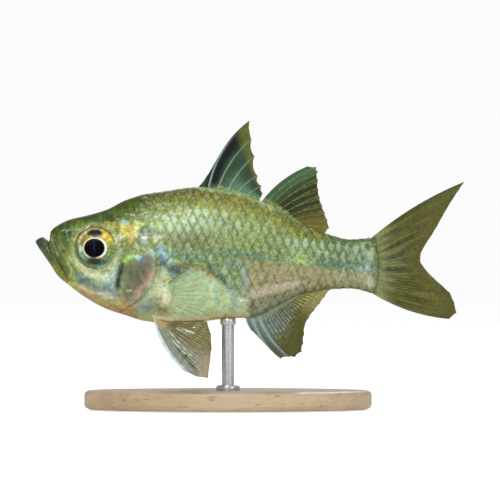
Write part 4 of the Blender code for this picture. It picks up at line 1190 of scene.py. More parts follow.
class GLASSFISH_OT_scales(bpy.types.Operator):
    """Make the overlapping scales of both sides"""
    bl_idname = "glassfish.scales"
    bl_label = "Scales"

    def execute(self, context):
        roots, side_map = scale_roots()
        material = living_material("scales", 1500, 0.6, 0.15, 0.3, flecks="flecks", metallic="silver",
                                   bump=0.2, colour=scale_colour)
        for side, word in ((-1, "left"), (1, "right")):
            self.scale_sheet(f"scales_{word}", side, roots, side_map, material)
        return {"FINISHED"}

    @staticmethod
    def scale_sheet(name, side, roots, side_map, material):
        """Plates whose free edges cross like a lattice, each lying over the ones behind it."""
        pitch = settings().scale_pitch / MM
        row_pitch = settings().row_pitch / MM
        lift = settings().scale_lift / MM
        columns, rows, root = SCALE_COLUMNS, SCALE_ROWS, SCALE_ROOT
        count = len(roots)
        x0, arc0, size = (np.array([one[i] for one in roots])[:, None, None] for i in (0, 1, 4))
        luck = np.random.default_rng(40).uniform(0, 1, (count, 7))[:, :, None, None]
        a = np.linspace(0, 1, columns)[None, :, None] ** 0.85
        across = np.linspace(-1.04, 1.04, rows)[None, None, :] + 0 * a
        along = root * (1 - a) + 0.5 * np.abs(across) ** 1.35 * a
        x = np.minimum(x0 + (0.5 - along) * pitch * size, 20.4)
        arc = arc0 + across * row_pitch * (1 + 0.04 * (luck[:, 0] - 0.5))
        rise = np.clip((root - along) / root, 0, 1)
        centre = side_map.place(x0[:, 0, 0], arc0[:, 0, 0])
        belly = belly_share(centre[:, 0], centre[:, 2])[:, None, None]
        free = lift * (1 - 0.7 * belly) * (0.8 + 0.4 * luck[:, 2])
        height = -SCALE_SINK + (free + SCALE_SINK) * rise ** 1.2 - SCALE_DROP * across ** 2
        height = height + SCALE_BOW * (1 - across ** 2) * np.sin(np.pi * rise)
        base = side_map.place(x, arc)
        normal = side_map.normal(x, arc)
        top = base + normal * height[..., None]
        bottom = base + normal * (height - SCALE_THICKNESS)[..., None]
        for sheet in (top, bottom):
            sheet[..., 1] = side * np.maximum(sheet[..., 1], 0.015)
        points = np.concatenate([top.reshape(count, -1, 3), bottom.reshape(count, -1, 3)], axis=1)
        tints, pale_tints, values = scale_looks(centre, base, luck)
        values |= {"along": along, "across": across + 0 * along}
        doubled = {}
        for key, data in values.items():
            data = np.broadcast_to(data, x.shape).reshape(count, -1)
            doubled[key] = np.concatenate([data, data], axis=1).ravel()
        pattern, spread = sheet_pattern(columns, rows)
        offsets = np.arange(count)[:, None, None] * (2 * columns * rows)
        quads = (pattern[None] + offsets).reshape(-1, 4)
        cells = np.array([(one[3], one[2]) for one in roots], float)
        wide = cells[:, 0].max() + 1
        tall = cells[:, 1].max() - cells[:, 1].min() + 1
        corner = np.stack([cells[:, 0] / wide, (cells[:, 1] - cells[:, 1].min()) / tall], axis=-1)
        uvs = corner[:, None, None] + spread[None] * np.array([0.94 / wide, 0.94 / tall])
        tints, pale_tints = (
            np.concatenate([np.broadcast_to(one, base.shape).reshape(count, -1, 3)] * 2, axis=1)
            for one in (tints, pale_tints))
        piece = build_mesh(name, points.reshape(-1, 3), quads, {"tint": tints, "pale_tint": pale_tints},
                           doubled, uvs.reshape(-1, 4, 2))
        piece.data.set_sharp_from_angle(angle=math.radians(50))
        finish_piece(piece, material, "flank")


def scale_looks(centre, base, luck):
    """Tints and strengths of the scales, after where each lies on the body."""
    x, z = base[..., 0], base[..., 2]
    cx, cz = centre[:, 0][:, None, None], centre[:, 2][:, None, None]
    belly = belly_share(cx, cz)
    near_head = ramp(-11, -15, cx)
    below = ramp(0.3, -0.9, cz - stripe_height(cx)) * ramp(-2.5, 1.5, cx)
    whole = 0.35 * ((1 - belly) * (1 - 0.8 * below) * ramp(-12.5, -10.5, cx))[..., None]
    own = (1 - whole) * paint(x, z) + whole * paint(cx, cz)
    middle, half_height, _ = section(cx)
    level = (cz - middle) / half_height
    own = own * (1 + 0.36 * (1 - 0.8 * belly) * (1 - 0.65 * below) * (luck[:, 2] - 0.5))[..., None]
    mint = spot(cx, cz, (-10, 31.2), (10.5, 3), 0.9)
    back = ramp(0.5, 0.85, level)
    pale_tint = Coat(cx.shape, 169, 197, 166)
    pale_tint.lay(luck[:, 4] > 0.62, 160, 188, 178)
    tawny = spot(cx, cz, (1, 26.8), (16, 3.2), 0.7)
    pale_tint.lay(tawny * 0.75, 148, 164, 88)
    cool = ramp(28.4, 30, cz) * ramp(-3, 1, cx) * luck[:, 5]
    pale_tint.lay(cool * 0.8, 164, 196, 190)
    pale_tint.lay(mint * (0.4 + 0.6 * luck[:, 5]), 188, 236, 220)
    pale_tint.lay(below, 184, 170, 136)
    pale_tint.lay(back * 0.95, 152, 156, 70)
    pale_tint.lay(ramp(8, 14, cx) * (1 - below) * 0.5, 146, 170, 142)
    pale = (0.3 + 0.45 * luck[:, 3] + 0.14 * mint) * (1 - 0.35 * below)
    pale = pale * (1 - 0.6 * back) * (1 - 0.92 * belly)
    on_stripe = peak(cz, stripe_height(cx), 0.55) * ramp(-13.5, -12, cx)
    shade = Coat(cx.shape, 76, 128, 110)
    shade.lay(luck[:, 4] > 0.5, 84, 132, 136)
    shade.lay(ramp(0.5, -1.5, cx) * ramp(-8, -5.5, cx), 112, 134, 128)
    glint = ramp(5.5, 6.5, cx) * ramp(10.5, 9.5, cx)
    shade.lay(glint * 0.6, 180, 224, 160)
    pale_tint.lay(on_stripe, shade.colours)
    pale = np.maximum(pale, 0.95 * on_stripe)
    lower = peak(cz, 23.5, 0.5) * ramp(-7.4, -6.9, cx) * ramp(-2.8, -3.4, cx)
    upper = peak(cz + 0.07 * (cx - 5), 26.9, 0.5) * ramp(3, 6, cx) * ramp(18.5, 16.5, cx)
    pale_tint.lay(lower, 122, 146, 138)
    pale_tint.lay(upper, 190, 216, 206)
    pale = np.maximum(pale, 0.8 * np.maximum(lower, upper * (0.6 + 0.4 * luck[:, 4])))
    # sheen is how strong each scale's painted highlight is
    sheen = np.where(luck[:, 5] > 0.42, 0.3 + 0.55 * luck[:, 6], 0.1)
    sheen = sheen * (1 - 0.75 * below) * (1 - belly) * (1 - 0.75 * back)
    sheen = sheen * (1 - on_stripe) * (1 - 0.8 * near_head)
    # rim is how dark each scale's rim is, and the painted shade where the scale ahead lies over it
    rim = (0.38 + 0.25 * luck[:, 1]) * (1 - 0.9 * belly) * (1 - 0.65 * near_head)
    shaded = band(cx, cz, ((-9.8, 23.4), (-7.4, 23), (-5.6, 21.6), (-3, 19)), 0.8)
    pale = pale * (1 - 0.25 * near_head) * (1 - 0.8 * shaded * (1 - on_stripe))
    middle_size = 1.15 + on_stripe * (0.25 * ramp(-5, -7, cx) - 0.3)
    middle_size = middle_size - 0.25 * luck[:, 5] * (1 - mint) * (1 - on_stripe)
    flecks = 0.5 - 0.1 * below + 0.25 * near_head * (1 - belly)
    flecks = flecks - 0.3 * spot(cx, cz, (-11, 27.3), (6, 2.6))
    flecks = flecks + 0.25 * spot(cx, cz, (-10.5, 31), (5, 1.5))
    values = {"rim": rim, "pale": pale, "sheen": sheen, "middle_size": middle_size,
              "silver": 0.08 + 0.2 * pale, "flecks": flecks}
    return own, pale_tint.colours, values


# The eyes

def pupil_share(dx, dz):
    """How far a place is from the pupil's middle, with 1 at its edge."""
    return np.hypot((dx + PUPIL_SHIFT) / PUPIL_LONG, dz / PUPIL_TALL)


class GLASSFISH_OT_eyes(bpy.types.Operator):
    """Make both eyes, with a raised pupil and a banded iris under a wet cornea"""
    bl_idname = "glassfish.eyes"
    bl_label = "Eyes"

    def execute(self, context):
        material, tree, shader = new_material("eye")
        vector = object_vector(tree)
        specks = remap(tree, noise(tree, vector, 3800, 4, 0.7), 0.3, 0.7, 0.7, 1.3)
        fill(shader, {"Base Color": mixed(tree, 1, attribute(tree, "tint"), specks, "MULTIPLY"),
                      "Roughness": 0.35, "Specular IOR Level": 0.05,
                      "Metallic": attribute(tree, "silver", "Fac"),
                      "Coat Weight": attribute(tree, "wet", "Fac"), "Coat Roughness": 0.03,
                      "Coat IOR": WATER_IOR})
        add_bump(tree, shader, noise(tree, vector, 5200, 3), EYE_BUMP * MM, 0.12)
        surface = float(flank(EYE_X, EYE_Z))
        for side, word in ((-1, "left"), (1, "right")):
            eye = self.eyeball(f"eyeball_{word}", side, surface)
            finish_piece(eye, material, "eye", f"eye_{word}")
        return {"FINISHED"}

    @staticmethod
    def eyeball(name, side, surface):
        """A ball drawn out into a low dome, with a step round the pupil and a deep back."""
        tidy_select()
        middle = (EYE_X * MM, 0, EYE_Z * MM)
        bpy.ops.mesh.primitive_uv_sphere_add(segments=144, ring_count=120, radius=EYE_RADIUS * MM,
                                             location=middle, rotation=(math.pi / 2, 0, 0))
        ball = bpy.context.object
        ball.name = name
        bpy.ops.object.transform_apply(location=True, rotation=True, scale=False)
        mesh = ball.data
        points = np.zeros(len(mesh.vertices) * 3)
        mesh.vertices.foreach_get("co", points)
        points = points.reshape(-1, 3) / MM
        dx, dz = points[:, 0] - EYE_X, points[:, 2] - EYE_Z
        share = np.hypot(dx, dz) / EYE_RADIUS
        pupil = pupil_share(dx, dz)
        dome = DOME_HEIGHT - DOME_FALL * np.clip(share, 0, 1) ** 3
        bulge = 1 + 0.4 * np.cos(np.clip(pupil, 0, 1) * math.pi / 2)
        dome += 0.16 * (1 - ramp(0.94, 1.04, pupil)) * bulge
        dome += 0.05 * peak(pupil, 1.12, 0.07)
        bowl = -EYE_DEPTH * np.sqrt(np.clip(1 - share ** 2, 0, 1))
        outer = points[:, 1] * side > 0
        follow = 0.85 * share ** 2 * (flank(points[:, 0], points[:, 2]) - surface)
        points[:, 1] = side * (surface + follow + np.where(outer, dome, bowl))
        points[:, 2] = EYE_Z + dz * (1 + (EYE_TALL - 1) * share)
        mesh.vertices.foreach_set("co", (points * MM).ravel())
        mesh.update()
        tints, silver = eye_tints(points[:, 0] - EYE_X, points[:, 2] - EYE_Z)
        set_values(mesh, {"tint": tints}, {"silver": silver, "wet": 0.03 + 0.7 * silver})
        bpy.ops.object.shade_smooth()
        return ball


def eye_tints(dx, dz):
    """The iris: gold above, green below, dark blotches, a cream ring round the pupil, and a painted blue
    reflection in the pupil.
    """
    far = np.hypot(dx, dz / EYE_TALL) / EYE_RADIUS
    pupil = pupil_share(dx, dz)
    angle = np.degrees(np.arctan2(dz, dx + PUPIL_SHIFT))
    coat = Coat(dx.shape, 150, 150, 84)
    coat.lay(ramp(0.2, 1.6, dz) * 0.8, 176, 164, 84)
    coat.lay(ramp(0.5, -1, dz) * 0.9, 104, 130, 94)
    px, pz = drift(dx, dz, 0.06, 0.9, 81)
    coat.mark(dx, dz, px, pz, EYE_MARKS)
    spokes = waves(0.12 * angle, 0.5 * far, 1.3, 83)
    coat.colours *= (1 + 0.5 * (spokes - 0.5) * ramp(0.55, 0.7, far))[..., None]
    coat.lay(ramp(0.94, 0.99, far) * ramp(-0.6, 0.6, dz) * 0.6, 126, 96, 52)
    thick = 0.085 + 0.1 * peak(angle, 0, 55)
    ring = np.exp(-np.maximum(np.abs(pupil - 1.02 - thick * 0.75) - thick * 0.4, 0) ** 2 / 0.002)
    gap = np.exp(-(((angle + 98) / 24) ** 2) ** 2)
    cream = np.where(np.abs(angle)[:, None] < 60, tone(255, 252, 240), tone(240, 222, 190))
    coat.lay(ring * (1 - 0.95 * gap), cream)
    coat.lay(1 - ramp(0.98, 1.03, pupil), 2, 2, 9)
    # A painted reflection: a blue streak down the pupil.
    blue = np.exp(-((dx + 0.12) / 0.12) ** 2 - ((dz - 0.15) / 0.75) ** 2)
    coat.lay(blue * 0.5, 50, 60, 120)
    silver = 0.3 * ramp(1.05, 1.25, pupil)
    return np.clip(coat.colours, 0, 1), silver


# The fins

def ray_lines(bases, tips, bends, rows):
    """Each ray from base to tip, bowed to one side by a share of its length."""
    bases = np.array(bases, float)[:, None]
    tips = np.array(tips, float)[:, None]
    span = tips - bases
    across = np.stack([-span[..., 1], span[..., 0]], axis=-1)
    t = np.linspace(0, 1, rows)[None, :, None]
    return bases + t * span + 4 * np.array(bends)[:, None, None] * t * (1 - t) * across


def ray_ridge(offset, v, branched, fine):
    """Height of the rays' ridges, from 0 to 1: soft rays fork twice, fine ones three times."""
    if fine:
        spreads = (0.25 * ramp(-0.1, 0.15, v), 0.12 * ramp(0.25, 0.65, v), 0.06 * ramp(0.5, 0.95, v))
    else:
        spreads = (0.15 * ramp(0.3, 0.75, v), 0.07 * ramp(0.6, 1, v))
    centres = [np.zeros(np.broadcast(branched, v).shape)]
    for spread in spreads:
        spread = np.where(branched, spread, 0)
        centres = [centre + turn * spread for centre in centres for turn in (-1, 1)]
    width = np.where(branched, 0.105 - 0.06 * v, 0.12 - 0.07 * v) * (0.8 if fine else 1)
    ridge = np.zeros(np.broadcast(offset, v).shape)
    for centre in centres:
        ridge = np.maximum(ridge, peak(offset, centre, width))
    return ridge


def fin_piece(name, bases, tips, bends, notch, branched, place, colour, material, slot, node,
              rows=48, steps=14, thick=1, root=0.5, margin_seed=1, fine=False):
    """A thin fin: membrane, forked rays as ridges on both faces, and a root sunk into the body."""
    count = len(bases)
    lines = ray_lines(bases, tips, bends, rows)
    u = np.linspace(0, count - 1, (count - 1) * steps + 1)
    low = np.minimum(u.astype(int), count - 2)
    blend = (u - low)[:, None, None]
    v = np.linspace(0, 1, rows)[None]
    notch = np.asarray(notch)[low][:, None]
    dip = np.sin(math.pi * blend[..., 0]) ** 0.7
    draw = np.random.default_rng(margin_seed)
    fray = draw.uniform(0, 0.005 if fine else 0.01, len(u))[:, None]
    reach = 1 - notch * dip - fray
    here = v * reach
    paths = (1 - blend) * lines[low] + blend * lines[low + 1]
    shares = np.linspace(0, 1, rows)
    x = np.stack([np.interp(here[i], shares, paths[i, :, 0]) for i in range(len(u))])
    z = np.stack([np.interp(here[i], shares, paths[i, :, 1]) for i in range(len(u))])
    lead_x = x[:, 1] - x[:, 0]
    lead_z = z[:, 1] - z[:, 0]
    length = np.hypot(lead_x, lead_z)
    x[:, 0] -= root * lead_x / length
    z[:, 0] -= root * lead_z / length
    nearest = np.round(u).astype(int)
    offset = (u - nearest)[:, None]
    forks = np.asarray(branched)[nearest][:, None]
    ridge = ray_ridge(offset, here, forks, fine)
    spine = np.where(forks, 1, 1.45)
    half = FIN_HALF + FIN_FOOT * np.exp(-here / 0.12) - FIN_THINNING * here
    half = thick * (half + ridge * spine * RAY_HEIGHT * (1 - 0.72 * here))
    wave = FIN_SWAY * here * np.sin(u[:, None] * 1.3 + here * 3)
    tints, clear = colour(u[:, None] / (count - 1), here, ridge, x, z, forks)
    front = place(x, z, wave - half)
    back = place(x, z, wave + half)
    points = np.concatenate([front.reshape(-1, 3), back.reshape(-1, 3)])
    quads, uvs = sheet_pattern(len(u), rows)
    tints = np.clip(np.concatenate([tints.reshape(-1, 3)] * 2), 0, 1)
    values = {"clear": np.concatenate([np.broadcast_to(clear, x.shape).ravel()] * 2)}
    fin = build_mesh(name, points, quads, {"tint": tints}, values, uvs)
    finish_piece(fin, material, slot, node)


def on_middle(x, z, offset):
    return np.stack([x, offset, z], axis=-1)


def fin_material(name, alpha=None, mottle=0.5):
    return living_material(name, 1800, mottle, 0.4, 0.45, alpha=alpha, coat=0.06, bump=0.3, specular=0.16)


def sheath(x, z, v):
    """The uneven pale edge where scales run up onto the foot of a dorsal fin."""
    return ramp(0.06, 0.01, v - 0.04 * waves(x, z, 0.9, 38)) * (0.3 + 0.65 * waves(x, z, 0.6, 39))


def first_dorsal_colour(u, v, ridge, x, z, forks):
    """Dark teal and green membranes, blackish between the front spines, with pale blue spines."""
    coat = Coat(x.shape, 44, 66, 42)
    coat.lay(waves(x, z, 3, 31) * 0.6, 62, 92, 68)
    dark = ramp(0.15, 0.18, u) * ramp(0.34, 0.25, u) * ramp(0.95, 0.72, v)
    coat.lay(dark * 0.95, 8, 12, 10)
    coat.lay(ramp(0.06, 0.12, u) * ramp(0.2, 0.17, u) * 0.85, 20, 26, 24)
    coat.lay(ramp(0.1, 0, u) * 0.6, 50, 54, 34)
    coat.lay(ramp(0.7, 0.9, v) * 0.85, 100, 106, 38)
    coat.lay(ramp(0.6, 0.15, v) * ramp(0.3, 0.6, u) * 0.85, 102, 138, 106)
    coat.lay(sheath(x, z, v) * ramp(0.1, 0.45, u), 166, 184, 116)
    coat.lay(ridge ** 3 * (0.8 - 0.5 * v), 164, 190, 176)
    glint = peak(u, 0.18, 0.009) * ramp(0.85, 0.4, v)
    coat.lay(glint * 0.7, 150, 184, 184)
    return coat.colours, 1


def second_dorsal_colour(u, v, ridge, x, z, forks):
    coat = Coat(x.shape, 40, 50, 18)
    coat.lay(waves(x, z, 2.4, 32) * 0.5, 58, 68, 24)
    coat.lay(ramp(0.38, 0.1, u) * 0.8, 68, 106, 70)
    coat.lay(ramp(0.025, 0, u) * 0.6, 44, 60, 46)
    coat.lay(ramp(0.5, 0.95, u) * 0.85, 120, 112, 40)
    coat.lay(ramp(0.93, 1, v) * 0.5, 120, 122, 74)
    coat.lay(sheath(x, z, v), 152, 172, 104)
    foot = ramp(0.13, 0.05, v) * ramp(0.3, 0.6, u) * ramp(1, 0.88, u)
    coat.lay(foot * 0.65 * ramp(0.3, 0.6, waves(x, z, 0.5, 48)), 140, 172, 138)
    broken = 0.5 + 0.5 * ramp(0.35, 0.6, waves(x, z, 0.9, 36))
    coat.lay(ridge ** 3 * (0.8 - 0.4 * v) * broken, 174, 178, 112)
    return coat.colours, 1


def anal_colour(u, v, ridge, x, z, forks):
    """Olive brown outside, gold at the rear, grey teal near the body, and two thick pale spines."""
    coat = Coat(x.shape, 88, 88, 26)
    coat.lay(waves(x, z, 2.2, 33) * 0.6, 76, 78, 32)
    inner = ramp(0.66, 0.25, v) * ramp(0.9, 0.6, u)
    coat.lay(inner * (0.95 - 0.45 * ramp(0.25, 0.6, u)), 122, 142, 130)
    bands = peak(u, 0.075, 0.022) + peak(u, 0.16, 0.022)
    coat.lay(bands * (0.75 - 0.45 * v), 158, 184, 184)
    coat.lay(ramp(0.56, 0.88, u) * 0.9, 136, 130, 44)
    uneven = waves(30 * u + 0 * v, 2 * v, 1.6, 50)
    coat.lay((1 - ridge) ** 2 * (0.2 + 0.25 * inner) * (0.4 + uneven) * forks, 66, 72, 56)
    coat.lay((1 - ridge) ** 4 * ~forks * 0.5, 72, 88, 82)
    foot = ramp(0.1, 0.04, v - 0.05 * waves(x, z, 0.9, 43))
    coat.lay(foot * (0.4 + 0.5 * waves(x, z, 0.6, 44)), 152, 162, 128)
    broken = ramp(0.4, 0.6, waves(x, z, 0.8, 41))
    dashes = 0.3 * inner * (0.3 + 0.7 * broken) + 0.55 * peak(v, 0.45, 0.22) * broken
    dashes = dashes + 0.5 * ramp(0.6, 0.85, u)
    shade = np.where(forks[..., None], tone(216, 214, 182), tone(150, 180, 178))
    pale = np.where(forks, np.clip(dashes, 0.06, 0.85), 0.85 - 0.35 * v)
    coat.lay(ridge ** np.where(forks, 4, 0.18) * pale, shade)
    coat.lay(ridge * (~forks) * (0.65 - 0.45 * v), 184, 206, 202)
    return coat.colours, 1


def caudal_colour(u, v, ridge, x, z, forks):
    coat = Coat(x.shape, 88, 86, 36)
    coat.lay(waves(x, z, 4, 34) * 0.5, 102, 100, 44)
    middle = peak(x, 23.1, 1.5) * peak(z, 23.8, 3.2)
    coat.lay(middle * 0.7, 78, 90, 74)
    edge = np.maximum(ramp(0.1, 0, u), ramp(0.92, 1, u))
    coat.lay(edge * 0.4, 86, 90, 44)
    rim = peak(np.minimum(u, 1 - u), 0, 0.012)
    coat.lay(rim * 0.7, 56, 62, 34)
    reach = x + 2.4 * (waves(26 * u + 0 * v, 2 * v, 1.7, 45) - 0.5)
    coat.lay(ramp(24.4, 20, reach) * 0.85, 148, 158, 108)
    line = ramp(0.25, 0, x - tail_place(np.full(x.shape, BODY_END), z) - 0.1)
    coat.lay(line * 0.6, 62, 74, 44)
    coat.lay(ramp(0.96, 1, v) * 0.4, 90, 84, 44)
    streaks = waves(34 * u + 0 * v, 1.5 * v, 1.5, 49)
    inner = ramp(0.95, 0.5, v) * ramp(0.05, 0.3, v)
    coat.lay(inner * ramp(0.55, 0.85, streaks) * 0.6, 54, 58, 26)
    coat.lay(inner * ramp(0.4, 0.15, streaks) * 0.5, 136, 136, 76)
    grooves = (1 - ridge) ** 2 * (0.3 + 0.9 * waves(40 * u + 0 * v, 3 * v, 1.5, 46))
    coat.lay(grooves * ramp(0.1, 0.35, v) * (0.6 - 0.45 * v), 48, 52, 18)
    broken = 0.35 + 0.65 * ramp(0.35, 0.65, waves(x, z, 1.2, 37))
    coat.lay(ridge ** 2 * (0.6 - 0.5 * v) * broken, 150, 148, 84)
    return coat.colours, 1


def pelvic_colour(u, v, ridge, x, z, forks):
    """Grey silver behind a thick blue-white edge, then brown, with a dark streak and painted highlight
    dashes.
    """
    coat = Coat(x.shape, 128, 120, 74)
    coat.lay(waves(x, z, 1.8, 35) * 0.6, 106, 104, 64)
    coat.lay(ramp(0.72, 0.4, u) * 0.85, 150, 160, 144)
    low_edge = ramp(0.72, 1, v) * ramp(0.16, 0.3, u) * ramp(10, 7, z)
    coat.lay(ramp(0.85, 1, v) * ramp(0.55, 0.75, u) * 0.6, 108, 92, 44)
    grooves = (1 - ridge) ** 2 * (0.55 - 0.25 * ramp(0.6, 0.3, u)) * ramp(0.1, 0.3, v)
    coat.lay(grooves, 84, 80, 52)
    coat.lay(ramp(0.5, 0.95, u) * ramp(0.6, 0.1, v) * 0.6, 112, 98, 52)
    streak = band(x, z, PELVIC_STREAK, 0.36)
    coat.lay(streak * 0.95, 60, 56, 40)
    coat.lay(low_edge * 0.8, 176, 146, 112)
    broken = 0.3 + 0.7 * ramp(0.35, 0.6, waves(x, z, 1, 42))
    front = ramp(0.6, 0.3, u)
    shade = Coat(x.shape, 190, 182, 136)
    shade.lay(front, 206, 216, 200)
    coat.lay(ridge ** 2 * (0.75 - 0.25 * v) * broken, shade.colours)
    # Painted highlights: broken glints along the rays, and a white dot.
    glints = ramp(0.25, 0.6, waves(0.6 * x, 2 * z, 0.5, 47))
    for line, width in PELVIC_GLINT_LINES:
        coat.lay(band(x, z, line, width) * glints, 220, 228, 206)
    coat.lay(spot(x, z, (-9.03, 13.08), (0.24, 0.18)), 240, 244, 230)
    coat.lay(ramp(0.16, 0.03, v) * 0.8, 206, 184, 130)
    edge = ramp(0.15, 0.09, u) * ramp(1, 0.85, v)
    coat.lay(edge * 0.95, 192, 216, 222)
    coat.lay(peak(u, 0.05, 0.03) * edge * 0.9, 232, 244, 246)
    return coat.colours, 1


def pectoral_colour(u, v, ridge, x, z, forks):
    coat = Coat(x.shape, 196, 214, 160)
    coat.lay(ramp(0.2, 0, v) * 0.9, 214, 226, 184)
    coat.lay(ramp(0.2, 0, v) * ramp(0.35, 0.65, u) * 0.95, 255, 244, 220)
    coat.lay(ridge ** 2 * 0.8, 232, 240, 192)
    coat.lay(ramp(0.3, 0.12, u) * ramp(0.1, 0.25, v) * 0.8, 120, 132, 80)
    coat.lay(peak(u, 0, 0.03) * ramp(0.05, 0.15, v), 92, 98, 60)
    front = peak(u, 0, 0.05) * ramp(0.9, 0.5, v)
    clear = 0.06 + 0.85 * ridge * (1 - 0.65 * v) + 0.5 * front + 0.95 * ramp(0.16, 0.02, v)
    clear = np.clip(clear * (1 - 0.5 * ramp(0.85, 1, v)), 0, 1)
    return coat.colours, clear


class GLASSFISH_OT_middle_fins(bpy.types.Operator):
    """Make the two dorsal fins, the anal fin and the tail fin"""
    bl_idname = "glassfish.middle_fins"
    bl_label = "Middle fins"

    def execute(self, context):
        material = fin_material("fin_membrane")
        bases = [(x, float(body_top(x)) + FIN_GAP) for x in FIRST_DORSAL_BASE]
        fin_piece("dorsal_first", bases, FIRST_DORSAL_TIPS, (0, 0.1, 0.07, 0.06, 0.05, 0.04, 0),
                  (0.7, 0.02, 0.05, 0.1, 0.12, 0.14), [False] * 7, on_middle, first_dorsal_colour,
                  material, "fin_dark", "fin_dorsal_first", rows=60, steps=18, root=0.6)
        bases = [(x, float(body_top(x)) + FIN_GAP) for x in np.linspace(*SECOND_DORSAL_BASE, 11)]
        fin_piece("dorsal_second", bases, smooth_line(SECOND_DORSAL_MARGIN, 11),
                  np.linspace(0.07, 0, 11), [0.03] * 10, [False] + [True] * 10, on_middle,
                  second_dorsal_colour, material, "fin_olive", "fin_dorsal_second", root=0.6,
                  margin_seed=2)
        spread = [*ANAL_SPINE_BASE, *np.linspace(*ANAL_RAY_BASE, 10)]
        bases = [(x, float(body_bottom(x)) - FIN_GAP + 0.45 * float(ramp(6.5, 8.8, x))) for x in spread]
        fin_piece("anal", bases, [*ANAL_SPINE_TIPS, *smooth_line(ANAL_MARGIN, 10)],
                  [-0.05, -0.09, -0.07, *np.linspace(-0.05, 0.06, 10)], [0.3, 0.04] + [0.03] * 10,
                  [False] * 3 + [True] * 10, on_middle, anal_colour, material, "fin_olive", "fin_anal",
                  root=0.6, steps=22, margin_seed=3, fine=True)
        bases = smooth_line(CAUDAL_ROOT, 17, (0.13, 0.87)) + (0.15, 0)
        fin_piece("caudal", bases, smooth_line(CAUDAL_MARGIN, 17), np.linspace(0.04, -0.06, 17),
                  [0.005] * 16, [False] + [True] * 15 + [False], on_middle, caudal_colour, material,
                  "fin_olive", "fin_caudal", rows=64, steps=26, root=0.8, margin_seed=4, thick=1.1,
                  fine=True)
        return {"FINISHED"}


class GLASSFISH_OT_paired_fins(bpy.types.Operator):
    """Make the pelvic and pectoral fins of both sides"""
    bl_idname = "glassfish.paired_fins"
    bl_label = "Paired fins"

    def execute(self, context):
        pelvic = fin_material("pelvic_membrane")
        pectoral = fin_material("pectoral_membrane", alpha="clear", mottle=0.2)
        for side, word in ((-1, "left"), (1, "right")):
            self.pelvic(word, side, pelvic)
            self.pectoral(word, side, pectoral)
        return {"FINISHED"}

    @staticmethod
    def pelvic(word, side, material):
        spread = np.linspace(*PELVIC_BASE, 7)
        bases = [(x, float(underside(x, PELVIC_ROOT_Y)) - FIN_GAP) for x in spread]

        def place(x, z, offset):
            depth = np.maximum(bases[0][1] - z, 0)
            return np.stack([x, side * (PELVIC_ROOT_Y + PELVIC_SPLAY * depth) + offset, z], axis=-1)

        fin_piece(f"pelvic_{word}", bases, smooth_line(PELVIC_MARGIN, 7), np.linspace(-0.09, 0, 7),
                  [0.008] * 6, [False] + [True] * 6, place, pelvic_colour, material, "fin_pale",
                  f"fin_pelvic_{word}", rows=48, steps=26, root=0.6, margin_seed=5, fine=True)

    @staticmethod
    def pectoral(word, side, material):
        count = 13
        root_x = PECTORAL_ROOT[1][0]

        def place(x, z, offset):
            clear = PECTORAL_CLEAR + PECTORAL_FLARE * np.maximum(x - root_x, 0)
            near = ramp(-0.2, 1.6, x - root_x)
            rise = 0.3 * ramp(-0.3, 0.6, x - root_x) - 0.2
            out = flank(x, z) + rise * (1 - near) + clear * near
            return np.stack([x, side * out + offset, z], axis=-1)

        fin_piece(f"pectoral_{word}", smooth_line(PECTORAL_ROOT, count),
                  smooth_line(PECTORAL_MARGIN, count), np.linspace(0.03, -0.03, count),
                  [0.03] * (count - 1), [False] + [True] * (count - 1), place, pectoral_colour,
                  material, "fin_pale", f"fin_pectoral_{word}", rows=36, steps=12, thick=0.8, root=0.3,
                  margin_seed=6)


# The stand

def wood_material():
    """Satin beech: long grain along X, with fine dark flecks."""
    material, tree, shader = new_material("beech")
    vector = stretched_vector(tree, (0.12, 1, 1))
    broad = noise(tree, vector, 260, 3)
    fine = noise(tree, vector, 2600, 4, 0.7)
    grain = maths(tree, "ADD", times(tree, broad, 0.6), times(tree, fine, 0.4))
    share = remap(tree, grain, 0.35, 0.65, 0, 1)
    colour = mixed(tree, share, settings().wood_dark, settings().wood_light)
    specks = noise(tree, stretched_vector(tree, (0.2, 1, 1)), 1900, 1)
    colour = mixed(tree, remap(tree, specks, 0.66, 0.72, 0, 0.5), colour, (0.24, 0.14, 0.07))
    fill(shader, {"Base Color": colour, "Roughness": remap(tree, fine, 0.3, 0.7, 0.34, 0.5),
                  "Coat Weight": 0.15})
    add_bump(tree, shader, fine, WOOD_BUMP * MM, 0.25)
    return material


def steel_material():
    """Brushed steel: fine rings round the rod."""
    material, tree, shader = new_material("brushed_steel")
    rings = noise(tree, stretched_vector(tree, (0.05, 0.05, 1)), 9000, 3, 0.7)
    bright = remap(tree, rings, 0.3, 0.7, 0.94, 1.04)
    fill(shader, {"Base Color": mixed(tree, 1, settings().steel, bright, "MULTIPLY"),
                  "Roughness": remap(tree, rings, 0.3, 0.7, 0.22, 0.4), "Metallic": 1})
    add_bump(tree, shader, rings, STEEL_BUMP * MM, 0.08)
    return material


